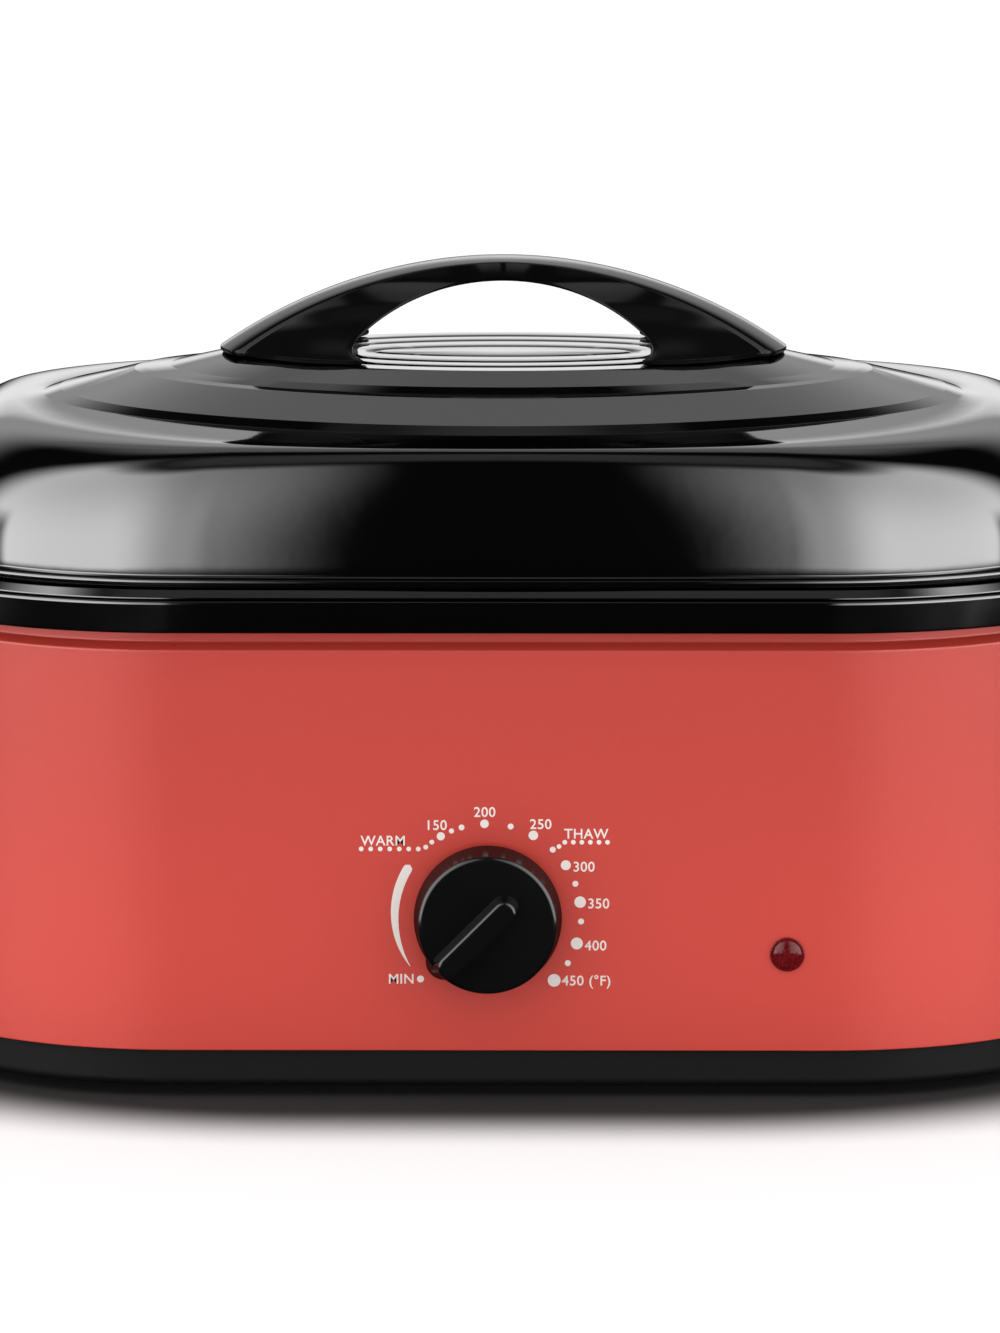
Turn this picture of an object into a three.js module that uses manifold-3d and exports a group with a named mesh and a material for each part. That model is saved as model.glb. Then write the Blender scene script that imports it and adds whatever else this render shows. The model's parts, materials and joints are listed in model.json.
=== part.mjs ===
// A six quart electric roaster oven: a red steel housing on a black base tray, a heating well, a
// cookwell that lifts out with its rack, a high domed lid with an arched handle, and the dial,
// thermostat, lamp and element that work it.
// Millimetres, +Z up, the dial faces -Y. The origin is the middle of the bounding box, at table level.
import * as THREE from "three";
import { mergeVertices } from "three/addons/utils/BufferGeometryUtils.js";
import Module from "manifold-3d";

const wasm = await Module();
wasm.setup();

// Clearances
const gap = 0.3; // between two pieces that touch
const skirtSlip = 0.5; // base tray's skirt inside the housing wall
const holeSlip = 0.4; // radius of a hole over what passes through it
const overrun = 3; // a cutter past the face that it cuts
const weldReach = 0.001; // vertices nearer than this are one

// Feet
const footHeight = 3;
const footRadius = 9;
const footStemRadius = 3.6;
const footCollarRadius = 5.2;
const footCollarHeight = 2;
const footFromEndX = 46; // centre of a foot from the end of the housing
const footFromFaceY = 40; // and from its front or back

// Base tray
const baseBand = 12; // height that shows under the wall
const baseLap = 11; // skirt inside the wall
const baseSheet = 1.5;
const baseEdge = 1.5; // chamfer of the lower edge

// Housing wall
const housingWidth = 334;
const housingDepth = 268;
const housingCorner = 76; // plan radius of its corners
const housingHeight = 123;
const housingSheet = 1.2;
const neckHeight = 10; // narrower top of the wall, mostly under the rim
const neckInset = 1.2;
const neckSlope = 1.2; // height of the shoulder below the neck
const housingFlange = 12; // inward flange at the top

// Rim trim
const rimOverhang = 5; // past the housing wall
const rimHeight = 9;
const rimSheet = 1.5;
const rimEdge = 2; // rounding of the upper edge

// Heating well
const wellSheet = 1;
const wellFloorRound = 10;
const wellSeat = 6; // flange on the housing's flange

// Element and insulation round the well
const heaterSheet = 1.2;
const heaterHeight = 34;
const heaterLift = 14; // above the well's floor
const blanketThickness = 5;
const blanketLift = 8; // above the well's floor
const blanketUnder = 8.5; // below the housing's flange
const blanketSlack = 0.7; // between the blanket and the thermostat
const blanketSideSlack = 5.7; // between the blanket and the screws of a side handle

// Heat shield, its posts and their screws
const shieldWidth = 270;
const shieldDepth = 200;
const shieldCorner = 50;
const shieldSheet = 1;
const shieldUnder = 7.2; // below the well
const postHeight = 18;
const postRadius = 4;
const postFromMiddleX = 90;
const postFromMiddleY = 62;
const postScrewRadius = 1.8;
const postScrewReach = 9; // into the post
const postHeadRadius = 3.6;
const postHeadHeight = 1.6;

// Cookwell
const panSlack = 3.8; // between its wall and the well's
const panUnder = 5.1; // between its floor and the well's
const panDraft = 6; // each side leans in by this much
const panSheet = 1.2;
const panFloorRound = 14;
const panBead = 2.4; // height of the rolled edge
const panBeadWidth = 3;
const panInset = 1.5; // rolled edge inside the rim's edge

// Rack in the cookwell
const rackFrameRadius = 2.2;
const rackBarRadius = 1.5;
const rackBars = 9;
const rackLift = 9; // legs, from the cookwell's floor to the frame's centre
const rackLegRadius = 2;
const rackLegFromMiddleX = 70;
const rackWireFacets = 6;

// Lid
const lidInset = 1.5; // lid's edge inside the cookwell's rolled edge
const lidSheet = 1.2;
const lidBead = 3.6; // height of the lid's edge
const lidBeadWidth = 4;
const lidBeadRound = 1.2;
const shoulderRise = 36.9;
const shoulderRun = { x: 29, y: 26 }; // from the lid's edge in to the outer step
const lowTerraceRun = { x: 30.5, y: 31.5 }; // between the steps
const highTerraceRun = { x: 17.5, y: 19.5 }; // from the inner step to the crown
const stepRun = 2.6; // how far each step leans
const lowStepRise = 2;
const lowTerraceRise = 4.2;
const highStepRise = 1.8;
const highTerraceRise = 3;
const terraceBulgeShare = 0.5; // of a terrace's rise that is bowed, the rest is a plain slope
const ringGrooveWidth = 2.4;
const ringGrooveDepth = 0.7;
const crownRingShares = [
  { x: 0.977, y: 0.96 },
  { x: 0.75, y: 0.71 },
  { x: 0.57, y: 0.49 },
  { x: 0.43, y: 0.29 },
]; // of the crown's half width and half depth

// Lid handle
const archSpan = 165.2; // over the feet
const archRise = 27.4; // crown over the lid
const archOpening = 94; // finger gap, at its widest
const archThickness = 6; // at the crown
const archFootHeight = 1.5; // upright edge of the foot
const archFootDepth = 84; // inner edge of a foot, front to back
const archCrownDepth = 25; // the same at the crown
const archFootBack = 38; // outer edge of a foot between its two creases
const archCrownBack = 24;
const archCreaseShares = { atFoot: 0.2, atCrown: 0.1 }; // crease's place across a section
const archBackShare = 0.35; // a point of the rounded back, of the way to the crease
const archFaceShares = [0.3, 0.65]; // points of the face between the crease and the inner edge
const archBackPower = 0.6; // roundness of the back
const archFacePower = 1.6; // hollow of the face
const archFlarePower = 1.7; // how fast the feet spread
const lidScrewRadius = 2;
const lidScrewReach = 7; // into the handle
const lidHeadRadius = 4;
const lidHeadHeight = 2.4;
const lidWasherRadius = 6;
const lidWasherSheet = 1;

// Side handles
const earWidth = 112;
const earReach = 40;
const earHeight = 13;
const earPad = 8; // between the wall and the finger gap
const earBar = 11; // beyond the finger gap
const earGapWidth = 72;
const earCorner = 22;
const earBevel = 2;
const earBelowTop = 26; // middle of the handle below the housing's top
const earScrewRadius = 2;
const earScrewReach = 11;
const earHeadRadius = 4;
const earHeadHeight = 2;

// Dial
const dialX = -3.5; // from the middle of the housing
const dialHeight = 52; // above the table
const shaftRadius = 3;
const shaftFlat = 0.8; // depth of the flat on the shaft
const shaftInThermostat = 6;
const shaftInKnob = 10;
const knobStandOff = 4; // from the wall
const knobDepth = 12;
const knobBackRadius = 20.7;
const knobFaceRadius = 18.3;
const knobEdge = 0.8;
const knobShell = 2.4;
const knobHubRadius = 6.5;
const knobHollow = 8.5;
const bladeRise = 8; // above the knob's face
const bladeWidth = 6.3;
const bladeFootWidth = 10.5;
const bladeTail = 9.8; // from the axis to the round end
const bladeTip = 17.8; // from the axis to the pointing end
const bladeFootTip = 22.4; // the same at the knob's back
const bladeFootTail = 12;
const bladeEdge = 0.7;
const bladeAngle = 225; // degrees, at the lowest setting
const clipSheet = 0.6;
const clipLength = 6;

// Thermostat behind the dial
const thermostatWidth = 44;
const thermostatHeight = 30;
const thermostatDepth = 12;
const bushingRadius = 4.7;
const bushingReach = 3; // past the wall's outside
const nutWidth = 14; // across its flats
const nutHeight = 2.2;
const tabWidth = 6;
const tabHeight = 7;
const tabSheet = 1;
const tabFromMiddle = 12;

// Lamp
const lampX = 80;
const lampHeight = 41.2; // above the table
const lensRadius = 4;
const lensProud = 1.6; // past the wall
const lensFlange = 0.8; // lens's edge over its hole
const lensFlangeSheet = 0.5;
const lensStem = 3; // behind the wall
const holderRadius = 5;
const holderLength = 8;

// Terminal block, leads and cord gland at the back
const blockX = 30;
const blockWidth = 30;
const blockDepth = 10;
const blockHeight = 14;
const leadRadius = 1.3;
const leadHeight = 9; // above the base tray's floor
const leadSpacing = 7;
const leadSteps = 32;
const leadFacets = 6;
const leadBow = 24; // how far the leads swing sideways under the well
const glandX = 70;
const glandHeight = 34; // above the table
const glandRadius = 6;
const glandBore = 3.6; // radius
const glandFlangeRadius = 8.5;
const glandFlangeSheet = 2;
const glandCollarLength = 5;

// Facets
const cornerSteps = 7;
const longSideSteps = 6;
const shortSideSteps = 4;
const roundFacets = 20;
const smallFacets = 12;
const archSections = 24;

// Levels, from the table up
const baseLevel = footHeight;
const housingFoot = baseLevel + baseBand;
const housingTop = housingFoot + housingHeight;
const wellFlangeTop = housingTop + gap + wellSheet;
const rimTop = wellFlangeTop + gap + rimSheet;
const panSeat = rimTop + gap;
const panTop = panSeat + panBead;
const lidSeat = panTop + gap;
const lowStepFoot = lidSeat + lidBead + shoulderRise;
const lowTerraceFoot = lowStepFoot + lowStepRise;
const highStepFoot = lowTerraceFoot + lowTerraceRise;
const highTerraceFoot = highStepFoot + highStepRise;
const crownLevel = highTerraceFoot + highTerraceRise;
const archSeat = crownLevel + gap;
const trayTop = baseLevel + baseSheet;
const shieldLevel = trayTop + gap + postHeight + gap;
const wellFloor = shieldLevel + shieldSheet + shieldUnder + wellSheet; // upper face
const panFloor = wellFloor + panUnder; // lower face
const rackLevel = panFloor + panSheet + gap + rackLift;
const earLevel = housingTop - earBelowTop;
const earScrewFromMiddle = (earWidth + earGapWidth) / 4;
const lidScrewFromMiddle = (archSpan + archOpening) / 4;
const footX = housingWidth / 2 - footFromEndX;
const footY = housingDepth / 2 - footFromFaceY;

const halfTurn = Math.PI;
const quarterTurn = Math.PI / 2;
const fullTurn = 2 * Math.PI;

const mix = THREE.MathUtils.lerp;
const radians = THREE.MathUtils.degToRad;

// Welded triangles, without those that have closed up.
function weld(geometry) {
  const bare = new THREE.BufferGeometry();
  bare.setAttribute("position", geometry.getAttribute("position").clone());
  if (geometry.index) bare.setIndex(geometry.index.clone());
  const merged = mergeVertices(bare, weldReach);
  const kept = [];
  for (let i = 0; i < merged.index.count; i += 3) {
    const corners = [0, 1, 2].map((k) => merged.index.getX(i + k));
    if (new Set(corners).size === corners.length) kept.push(...corners);
  }
  merged.setIndex(kept);
  return merged;
}

function toSolid(geometry) {
  const welded = weld(geometry);
  return new wasm.Manifold(
    new wasm.Mesh({
      numProp: 3,
      vertProperties: new Float32Array(welded.getAttribute("position").array),
      triVerts: new Uint32Array(welded.index.array),
    }),
  );
}

function toGeometry(solid) {
  const mesh = solid.getMesh();
  const geometry = new THREE.BufferGeometry();
  geometry.setAttribute("position", new THREE.BufferAttribute(mesh.vertProperties, mesh.numProp));
  geometry.setIndex(new THREE.BufferAttribute(mesh.triVerts, 1));
  return geometry;
}

function cut(geometry, ...tools) {
  return toGeometry(tools.reduce((body, tool) => body.subtract(toSolid(tool)), toSolid(geometry)));
}

function join(...geometries) {
  return toGeometry(geometries.map(toSolid).reduce((body, more) => body.add(more)));
}

// A skin through rings of points. Seen from above each ring runs anticlockwise. The rings go from
// the middle of the lower face outwards and up to the middle of the upper face, or, in a hoop,
// round its section and back to the first.
function skin(rings, hoop = false) {
  const count = rings[0].length;
  const points = rings.flat();
  const index = [];
  const at = (ring, i) => (ring % rings.length) * count + (i % count);
  const bands = hoop ? rings.length : rings.length - 1;
  for (let ring = 0; ring < bands; ring++)
    for (let i = 0; i < count; i++) {
      index.push(at(ring, i), at(ring, i + 1), at(ring + 1, i + 1));
      index.push(at(ring, i), at(ring + 1, i + 1), at(ring + 1, i));
    }
  const closeEnd = (ring, faceUp) => {
    const middle = new THREE.Vector3();
    rings[ring].forEach((point) => middle.addScaledVector(point, 1 / count));
    const hub = points.push(middle) - 1;
    for (let i = 0; i < count; i++) {
      const edge = [at(ring, i), at(ring, i + 1)];
      index.push(hub, ...(faceUp ? edge : edge.reverse()));
    }
  };
  if (!hoop) {
    closeEnd(0, false);
    closeEnd(rings.length - 1, true);
  }
  const geometry = new THREE.BufferGeometry().setFromPoints(points);
  geometry.setIndex(index);
  return geometry;
}

// Points of a rounded rectangle, anticlockwise: four corner arcs with straight sides between them.
function roundedPlan(halfX, halfY, corner) {
  const points = [];
  const flatX = halfX - corner;
  const flatY = halfY - corner;
  const corners = [
    { x: flatX, y: flatY, steps: longSideSteps },
    { x: -flatX, y: flatY, steps: shortSideSteps },
    { x: -flatX, y: -flatY, steps: longSideSteps },
    { x: flatX, y: -flatY, steps: shortSideSteps },
  ];
  corners.forEach((centre, quarter) => {
    for (let i = 0; i <= cornerSteps; i++) {
      const angle = quarterTurn * (quarter + i / cornerSteps);
      const reach = new THREE.Vector2(Math.cos(angle), Math.sin(angle));
      points.push(reach.multiplyScalar(corner).add(centre));
    }
    const next = corners[(quarter + 1) % corners.length];
    const angle = quarterTurn * (quarter + 1);
    const out = new THREE.Vector2(Math.cos(angle), Math.sin(angle)).multiplyScalar(corner);
    for (let i = 1; i < centre.steps; i++) {
      const along = new THREE.Vector2(centre.x, centre.y).lerp(next, i / centre.steps);
      points.push(along.add(out));
    }
  });
  return points;
}

// The same points drawn towards an ellipse: square 1 is the rounded rectangle, 0 the ellipse.
function ovalPlan(halfX, halfY, corner, square) {
  return roundedPlan(halfX, halfY, corner).map((point) => {
    const angle = Math.atan2(point.y / halfY, point.x / halfX);
    const ellipse = new THREE.Vector2(halfX * Math.cos(angle), halfY * Math.sin(angle));
    return ellipse.lerp(point, square);
  });
}

const atLevel = (plan, z) => plan.map((point) => new THREE.Vector3(point.x, point.y, z));

// Rings that follow one rounded rectangle, each set out from it by some distance at some level.
function ringsFrom(plan, stations) {
  return stations.map(([out, z]) =>
    atLevel(roundedPlan(plan.halfX + out, plan.halfY + out, plan.corner + out), z),
  );
}

const grown = (plan, outX, outY, outCorner) => ({
  halfX: plan.halfX + outX,
  halfY: plan.halfY + outY,
  corner: plan.corner + outCorner,
});
const housingPlan = { halfX: housingWidth / 2, halfY: housingDepth / 2, corner: housingCorner };
const lagging = blanketThickness + gap + heaterSheet + gap + wellSheet;
const wellFromSide = housingSheet + gap + earHeadHeight + blanketSideSlack + lagging;
const wellFromFront = housingSheet + gap + thermostatDepth + blanketSlack + lagging;
const wellPlan = grown(housingPlan, -wellFromSide, -wellFromFront, -wellFromSide);
const panIn = panSlack + panSheet;
const panPlan = grown(wellPlan, -panIn, -panIn, -panIn);
const panFloorPlan = grown(panPlan, -panDraft, -panDraft, -panDraft);
const rackIn = panFloorRound + rackLegRadius;
const rackPlan = grown(panFloorPlan, -rackIn, -rackIn, -rackIn);
const lidOut = rimOverhang - panInset - lidInset;
const lidPlan = grown(housingPlan, lidOut, lidOut, lidOut);
const lidFoot = grown(lidPlan, -lidBeadWidth, -lidBeadWidth, -lidBeadWidth);
const lowOval = { x: lidFoot.halfX - shoulderRun.x, y: lidFoot.halfY - shoulderRun.y };
const highOval = { x: lowOval.x - lowTerraceRun.x, y: lowOval.y - lowTerraceRun.y };
const crownOval = { x: highOval.x - highTerraceRun.x, y: highOval.y - highTerraceRun.y };

// A bar or hole along Z, Y or X.
function rod(radius, length, facets = roundFacets) {
  return new THREE.CylinderGeometry(radius, radius, length, facets).rotateX(quarterTurn);
}
const rodAlongY = (radius, length, facets) => rod(radius, length, facets).rotateX(quarterTurn);
const rodAlongX = (radius, length, facets) => rod(radius, length, facets).rotateY(quarterTurn);

// A turned piece on the Z axis from [radius, z] points, lowest on the axis to highest on the axis.
function turned(profile, facets = roundFacets) {
  const points = profile.map(([radius, z]) => new THREE.Vector2(radius, z));
  return new THREE.LatheGeometry(points, facets).rotateX(quarterTurn);
}

// A ring on the Z axis.
function washer(inner, outer, low, high, facets = roundFacets) {
  return turned([[inner, low], [outer, low], [outer, high], [inner, high], [inner, low]], facets);
}

// A pan head screw on the Z axis, its head's upper face at the origin and its shank below.
function screw(headRadius, headHeight, shankRadius, shankLength) {
  const headRound = headHeight / 3;
  return turned(
    [
      [0, -headHeight - shankLength],
      [shankRadius, -headHeight - shankLength],
      [shankRadius, -headHeight],
      [headRadius, -headHeight],
      [headRadius, -headRound],
      [headRadius - headRound, 0],
      [0, 0],
    ],
    smallFacets,
  );
}

const finish = (color, roughness, metalness) =>
  new THREE.MeshStandardMaterial({ color, roughness, metalness });
const redPaint = finish(0xc23a33, 0.32, 0.1);
const blackEnamel = finish(0x0b0b0c, 0.08, 0.1);
const speckledEnamel = finish(0x101012, 0.15, 0.1);
const blackPlastic = finish(0x141415, 0.25, 0);
const satinBlack = finish(0x1d1d1e, 0.5, 0);
const rubber = finish(0x1a1a1a, 0.85, 0);
const aluminised = finish(0xb9bcbd, 0.35, 0.9);
const plated = finish(0xd0d2d4, 0.2, 1);
const elementTape = finish(0x8c7f6a, 0.6, 0.5);
const glassFibre = finish(0xe6dcb4, 0.95, 0);
const phenolic = finish(0x4a2f1d, 0.5, 0);
const brass = finish(0xc8a24a, 0.3, 1);
const redLens = finish(0x7a0f10, 0.1, 0);
const insulator = finish(0xd9d3c4, 0.5, 0);
const leadSleeve = finish(0xb9b4a6, 0.7, 0);

function node(name, geometry, material) {
  const mesh = new THREE.Mesh(geometry, material);
  mesh.name = name;
  return mesh;
}

const sides = [
  { word: "left", sign: -1 },
  { word: "right", sign: 1 },
];
const faces = [
  { word: "front", sign: -1 },
  { word: "back", sign: 1 },
];
const quarters = faces.flatMap((face) =>
  sides.map((side) => ({ word: `${face.word}_${side.word}`, x: side.sign, y: face.sign })),
);

// Housing wall: a hoop of sheet with a narrower neck and an inward flange at its top.
function housingWall() {
  const inside = -neckInset - housingSheet;
  const neckFoot = housingTop - neckHeight;
  let wall = skin(
    ringsFrom(housingPlan, [
      [0, housingFoot],
      [0, neckFoot - neckSlope],
      [-neckInset, neckFoot],
      [-neckInset, housingTop],
      [-housingFlange, housingTop],
      [-housingFlange, housingTop - housingSheet],
      [inside, housingTop - housingSheet],
      [inside, neckFoot],
      [-housingSheet, neckFoot - neckSlope],
      [-housingSheet, housingFoot],
    ]),
    true,
  );
  const reach = 2 * overrun + housingSheet;
  const hole = (radius, x, y, z) => rodAlongY(radius, reach, smallFacets).translate(x, y, z);
  wall = cut(
    wall,
    hole(bushingRadius + holeSlip, dialX, -housingPlan.halfY, dialHeight),
    hole(lensRadius + holeSlip, lampX, -housingPlan.halfY, lampHeight),
    hole(glandRadius + holeSlip, glandX, housingPlan.halfY, glandHeight),
    ...sides.flatMap((side) =>
      faces.map((face) =>
        rodAlongX(earScrewRadius + holeSlip, reach, smallFacets).translate(
          side.sign * housingPlan.halfX,
          face.sign * earScrewFromMiddle,
          earLevel,
        ),
      ),
    ),
  );
  return node("housing_wall", wall, redPaint);
}

// Base tray: a floor with a skirt that stands inside the wall.
function baseTray() {
  const out = -housingSheet - skirtSlip;
  let tray = skin(
    ringsFrom(housingPlan, [
      [out - baseEdge, baseLevel],
      [out, baseLevel + baseEdge],
      [out, housingFoot + baseLap],
      [out - baseSheet, housingFoot + baseLap],
      [out - baseSheet, baseLevel + baseSheet],
    ]),
  );
  const drill = (radius, x, y) =>
    rod(radius, baseSheet + 2 * overrun, smallFacets).translate(x, y, baseLevel);
  tray = cut(
    tray,
    ...quarters.map((q) => drill(footStemRadius + holeSlip, q.x * footX, q.y * footY)),
    ...quarters.map((q) =>
      drill(postScrewRadius + holeSlip, q.x * postFromMiddleX, q.y * postFromMiddleY),
    ),
  );
  return node("base_tray", tray, satinBlack);
}

// Rubber feet with a stem and a collar that snap through the tray's floor.
function feet() {
  const underTray = footHeight - gap;
  const overTray = baseLevel + baseSheet + gap;
  const chamfer = footHeight / 4;
  return quarters.map((q) => {
    const foot = turned(
      [
        [0, 0],
        [footRadius - chamfer, 0],
        [footRadius, chamfer],
        [footRadius, underTray],
        [footStemRadius, underTray],
        [footStemRadius, overTray],
        [footCollarRadius, overTray],
        [footStemRadius, overTray + footCollarHeight],
        [0, overTray + footCollarHeight],
      ],
      roundFacets,
    );
    const mesh = node(`foot_${q.word}`, foot, rubber);
    mesh.position.set(q.x * footX, q.y * footY, 0);
    return mesh;
  });
}

// Rim trim: a cap over the wall's top with a rounded edge and a skirt outside the neck.
function rimTrim() {
  const out = rimOverhang;
  const rimFoot = rimTop - rimHeight;
  const outer = (stations) => ringsFrom(housingPlan, stations);
  const inner = (stations) => ringsFrom(wellPlan, stations);
  const bend = rimEdge * (1 - Math.SQRT1_2);
  const rings = [
    ...outer([
      [out, rimFoot],
      [out, rimTop - rimEdge],
      [out - bend, rimTop - bend],
      [out - rimEdge, rimTop],
    ]),
    ...inner([
      [wellSheet, rimTop],
      [wellSheet, rimTop - rimSheet],
    ]),
    ...outer([
      [out - rimSheet, rimTop - rimSheet],
      [out - rimSheet, rimFoot],
    ]),
  ];
  return node("rim_trim", skin(rings, true), blackEnamel);
}

// A sheet tub with a rounded floor, from its outside plan at the floor and at the top. The edge
// rings go from the outside of the wall, round the tub's edge, to the inside of the wall.
function tub(floorPlan, floorLevel, floorRound, sheet, edgeRings) {
  const bend = floorRound * (1 - Math.SQRT1_2);
  const low = ringsFrom(floorPlan, [
    [sheet - floorRound, floorLevel],
    [sheet - bend, floorLevel + bend],
    [sheet, floorLevel + floorRound],
  ]);
  const high = ringsFrom(floorPlan, [
    [0, floorLevel + floorRound],
    [-bend, floorLevel + bend + sheet * Math.SQRT1_2],
    [-floorRound, floorLevel + sheet],
  ]);
  return skin([...low, ...edgeRings, ...high]);
}

// Heating well: the fixed liner, hung by its flange on the housing's flange.
function heatingWell() {
  const flangeOut = wellSeat - housingFlange;
  const edge = [
    ...ringsFrom(wellPlan, [[wellSheet, housingTop + gap]]),
    ...ringsFrom(housingPlan, [
      [flangeOut, housingTop + gap],
      [flangeOut, wellFlangeTop],
    ]),
    ...ringsFrom(wellPlan, [[0, wellFlangeTop]]),
  ];
  const well = tub(wellPlan, wellFloor - wellSheet, wellFloorRound, wellSheet, edge);
  return node("heating_well", well, aluminised);
}

// A band round the outside of the well.
function band(name, inset, thickness, foot, height, material) {
  const rings = ringsFrom(wellPlan, [
    [inset + thickness, foot],
    [inset + thickness, foot + height],
    [inset, foot + height],
    [inset, foot],
  ]);
  return node(name, skin(rings, true), material);
}

function heatShield() {
  const plan = { halfX: shieldWidth / 2, halfY: shieldDepth / 2, corner: shieldCorner };
  const plate = skin(
    ringsFrom(plan, [
      [0, shieldLevel],
      [0, shieldLevel + shieldSheet],
    ]),
  );
  return node("heat_shield", plate, aluminised);
}

// Posts that carry the shield, each screwed down from under the tray.
function shieldPosts() {
  const foot = baseLevel + baseSheet + gap;
  const postBore = rod(postScrewRadius + gap, postScrewReach + gap + overrun, smallFacets);
  postBore.translate(0, 0, (postScrewReach + gap - overrun) / 2);
  const post = rod(postRadius, postHeight, smallFacets).translate(0, 0, postHeight / 2);
  const bored = cut(post, postBore);
  const shank = postScrewReach + gap + baseSheet + gap;
  return quarters.flatMap((q) => {
    const stand = node(`shield_post_${q.word}`, bored, aluminised);
    stand.position.set(q.x * postFromMiddleX, q.y * postFromMiddleY, foot);
    const body = screw(postHeadRadius, postHeadHeight, postScrewRadius, shank);
    const fastener = node(`post_screw_${q.word}`, body, plated);
    fastener.rotation.x = halfTurn;
    fastener.position.copy(stand.position).setZ(baseLevel - gap - postHeadHeight);
    return [stand, fastener];
  });
}

// Cookwell: a drafted pan that hangs on the rim by its rolled edge.
function cookwell() {
  const edgeOut = rimOverhang - panInset;
  const tuck = panBead / 4;
  const edge = [
    ...ringsFrom(panPlan, [[panSheet, panSeat]]),
    ...ringsFrom(housingPlan, [
      [edgeOut - tuck, panSeat],
      [edgeOut, panSeat + tuck],
      [edgeOut, panTop - tuck],
      [edgeOut - tuck, panTop],
      [edgeOut - panBeadWidth, panTop],
      [edgeOut - panBeadWidth - tuck, panSeat + panSheet],
    ]),
    ...ringsFrom(panPlan, [[0, panSeat + panSheet]]),
  ];
  const pan = tub(panFloorPlan, panFloor, panFloorRound, panSheet, edge);
  return node("cookwell", pan, speckledEnamel);
}

// Rack: a round wire frame with cross bars and four legs, welded into one piece.
function rack() {
  const frame = skin(
    Array.from({ length: rackWireFacets }, (_, i) => {
      const angle = (fullTurn * i) / rackWireFacets;
      const out = rackFrameRadius * Math.cos(angle);
      return ringsFrom(rackPlan, [[out, rackLevel + rackFrameRadius * Math.sin(angle)]])[0];
    }),
    true,
  );
  const { halfX, halfY, corner } = rackPlan;
  const pitch = (2 * halfX) / (rackBars + 1);
  const bars = Array.from({ length: rackBars }, (_, i) => {
    const x = pitch * (i + 1) - halfX;
    const past = Math.max(0, Math.abs(x) - (halfX - corner));
    const reach = halfY - corner + Math.sqrt(corner ** 2 - past ** 2);
    return rodAlongY(rackBarRadius, 2 * reach, rackWireFacets).translate(x, 0, rackLevel);
  });
  const legs = quarters.map((q) =>
    rod(rackLegRadius, rackLift, rackWireFacets).translate(
      q.x * rackLegFromMiddleX,
      q.y * halfY,
      rackLevel - rackLift / 2,
    ),
  );
  return node("rack", join(frame, ...bars, ...legs), plated);
}

// Lid: the edge bead, a tall shoulder that turns from the rounded rectangle to an oval, two oval
// steps with crowned terraces, and a flat crown with ring grooves.
function lidShell() {
  const plan = (halfX, halfY, square, z) =>
    atLevel(ovalPlan(halfX, halfY, Math.min(lidFoot.corner, halfX, halfY), square), z);
  const foot = { x: lidFoot.halfX, y: lidFoot.halfY };
  const between = (from, to, share, square, z, inset) =>
    plan(mix(from.x, to.x, share) - inset, mix(from.y, to.y, share) - inset, square, z);
  const shoulderSteps = 7;
  const terraceSteps = 3;
  const past = (oval) => ({ x: oval.x - stepRun, y: oval.y - stepRun });

  // One face of the dome from its foot to its crown, lowered and drawn in by some distances.
  const dome = (inset, drop) => {
    const rings = [];
    for (let i = 0; i <= shoulderSteps; i++) {
      const angle = (quarterTurn * i) / shoulderSteps;
      const level = lidSeat + lidBead + (shoulderRise - drop) * Math.sin(angle);
      const square = Math.cos(angle);
      rings.push(between(foot, lowOval, 1 - square, square, level, inset * square));
    }
    const terrace = (from, to, level, rise) => {
      for (let i = 0; i <= terraceSteps; i++) {
        const share = i / terraceSteps;
        const bulge = mix(share, Math.sin(quarterTurn * share), terraceBulgeShare);
        rings.push(between(from, to, share, 0, level + rise * bulge - drop, 0));
      }
    };
    terrace(past(lowOval), highOval, lowTerraceFoot, lowTerraceRise);
    terrace(past(highOval), crownOval, highTerraceFoot, highTerraceRise);
    return rings;
  };

  const grooves = crownRingShares.flatMap((share) => {
    const half = ringGrooveWidth / 2;
    const x = share.x * crownOval.x;
    const y = share.y * crownOval.y;
    return [
      plan(x + half, y + half, 0, crownLevel),
      plan(x, y, 0, crownLevel - ringGrooveDepth),
      plan(x - half, y - half, 0, crownLevel),
    ];
  });
  const edge = ringsFrom(lidPlan, [
    [0, lidSeat],
    [0, lidSeat + lidBead - lidBeadRound],
    [-lidBeadRound, lidSeat + lidBead],
  ]);
  const mouth = plan(foot.x - lidSheet, foot.y - lidSheet, 1, lidSeat);
  const rings = [...dome(lidSheet, lidSheet + ringGrooveDepth).reverse(), mouth];
  const shell = skin([...rings, ...edge, ...dome(0, 0), ...grooves]);
  const drills = sides.map((side) =>
    rod(lidScrewRadius + holeSlip, 2 * overrun + lidSheet, smallFacets).translate(
      side.sign * lidScrewFromMiddle,
      0,
      crownLevel,
    ),
  );
  return node("lid_shell", cut(shell, ...drills), blackEnamel);
}

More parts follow.
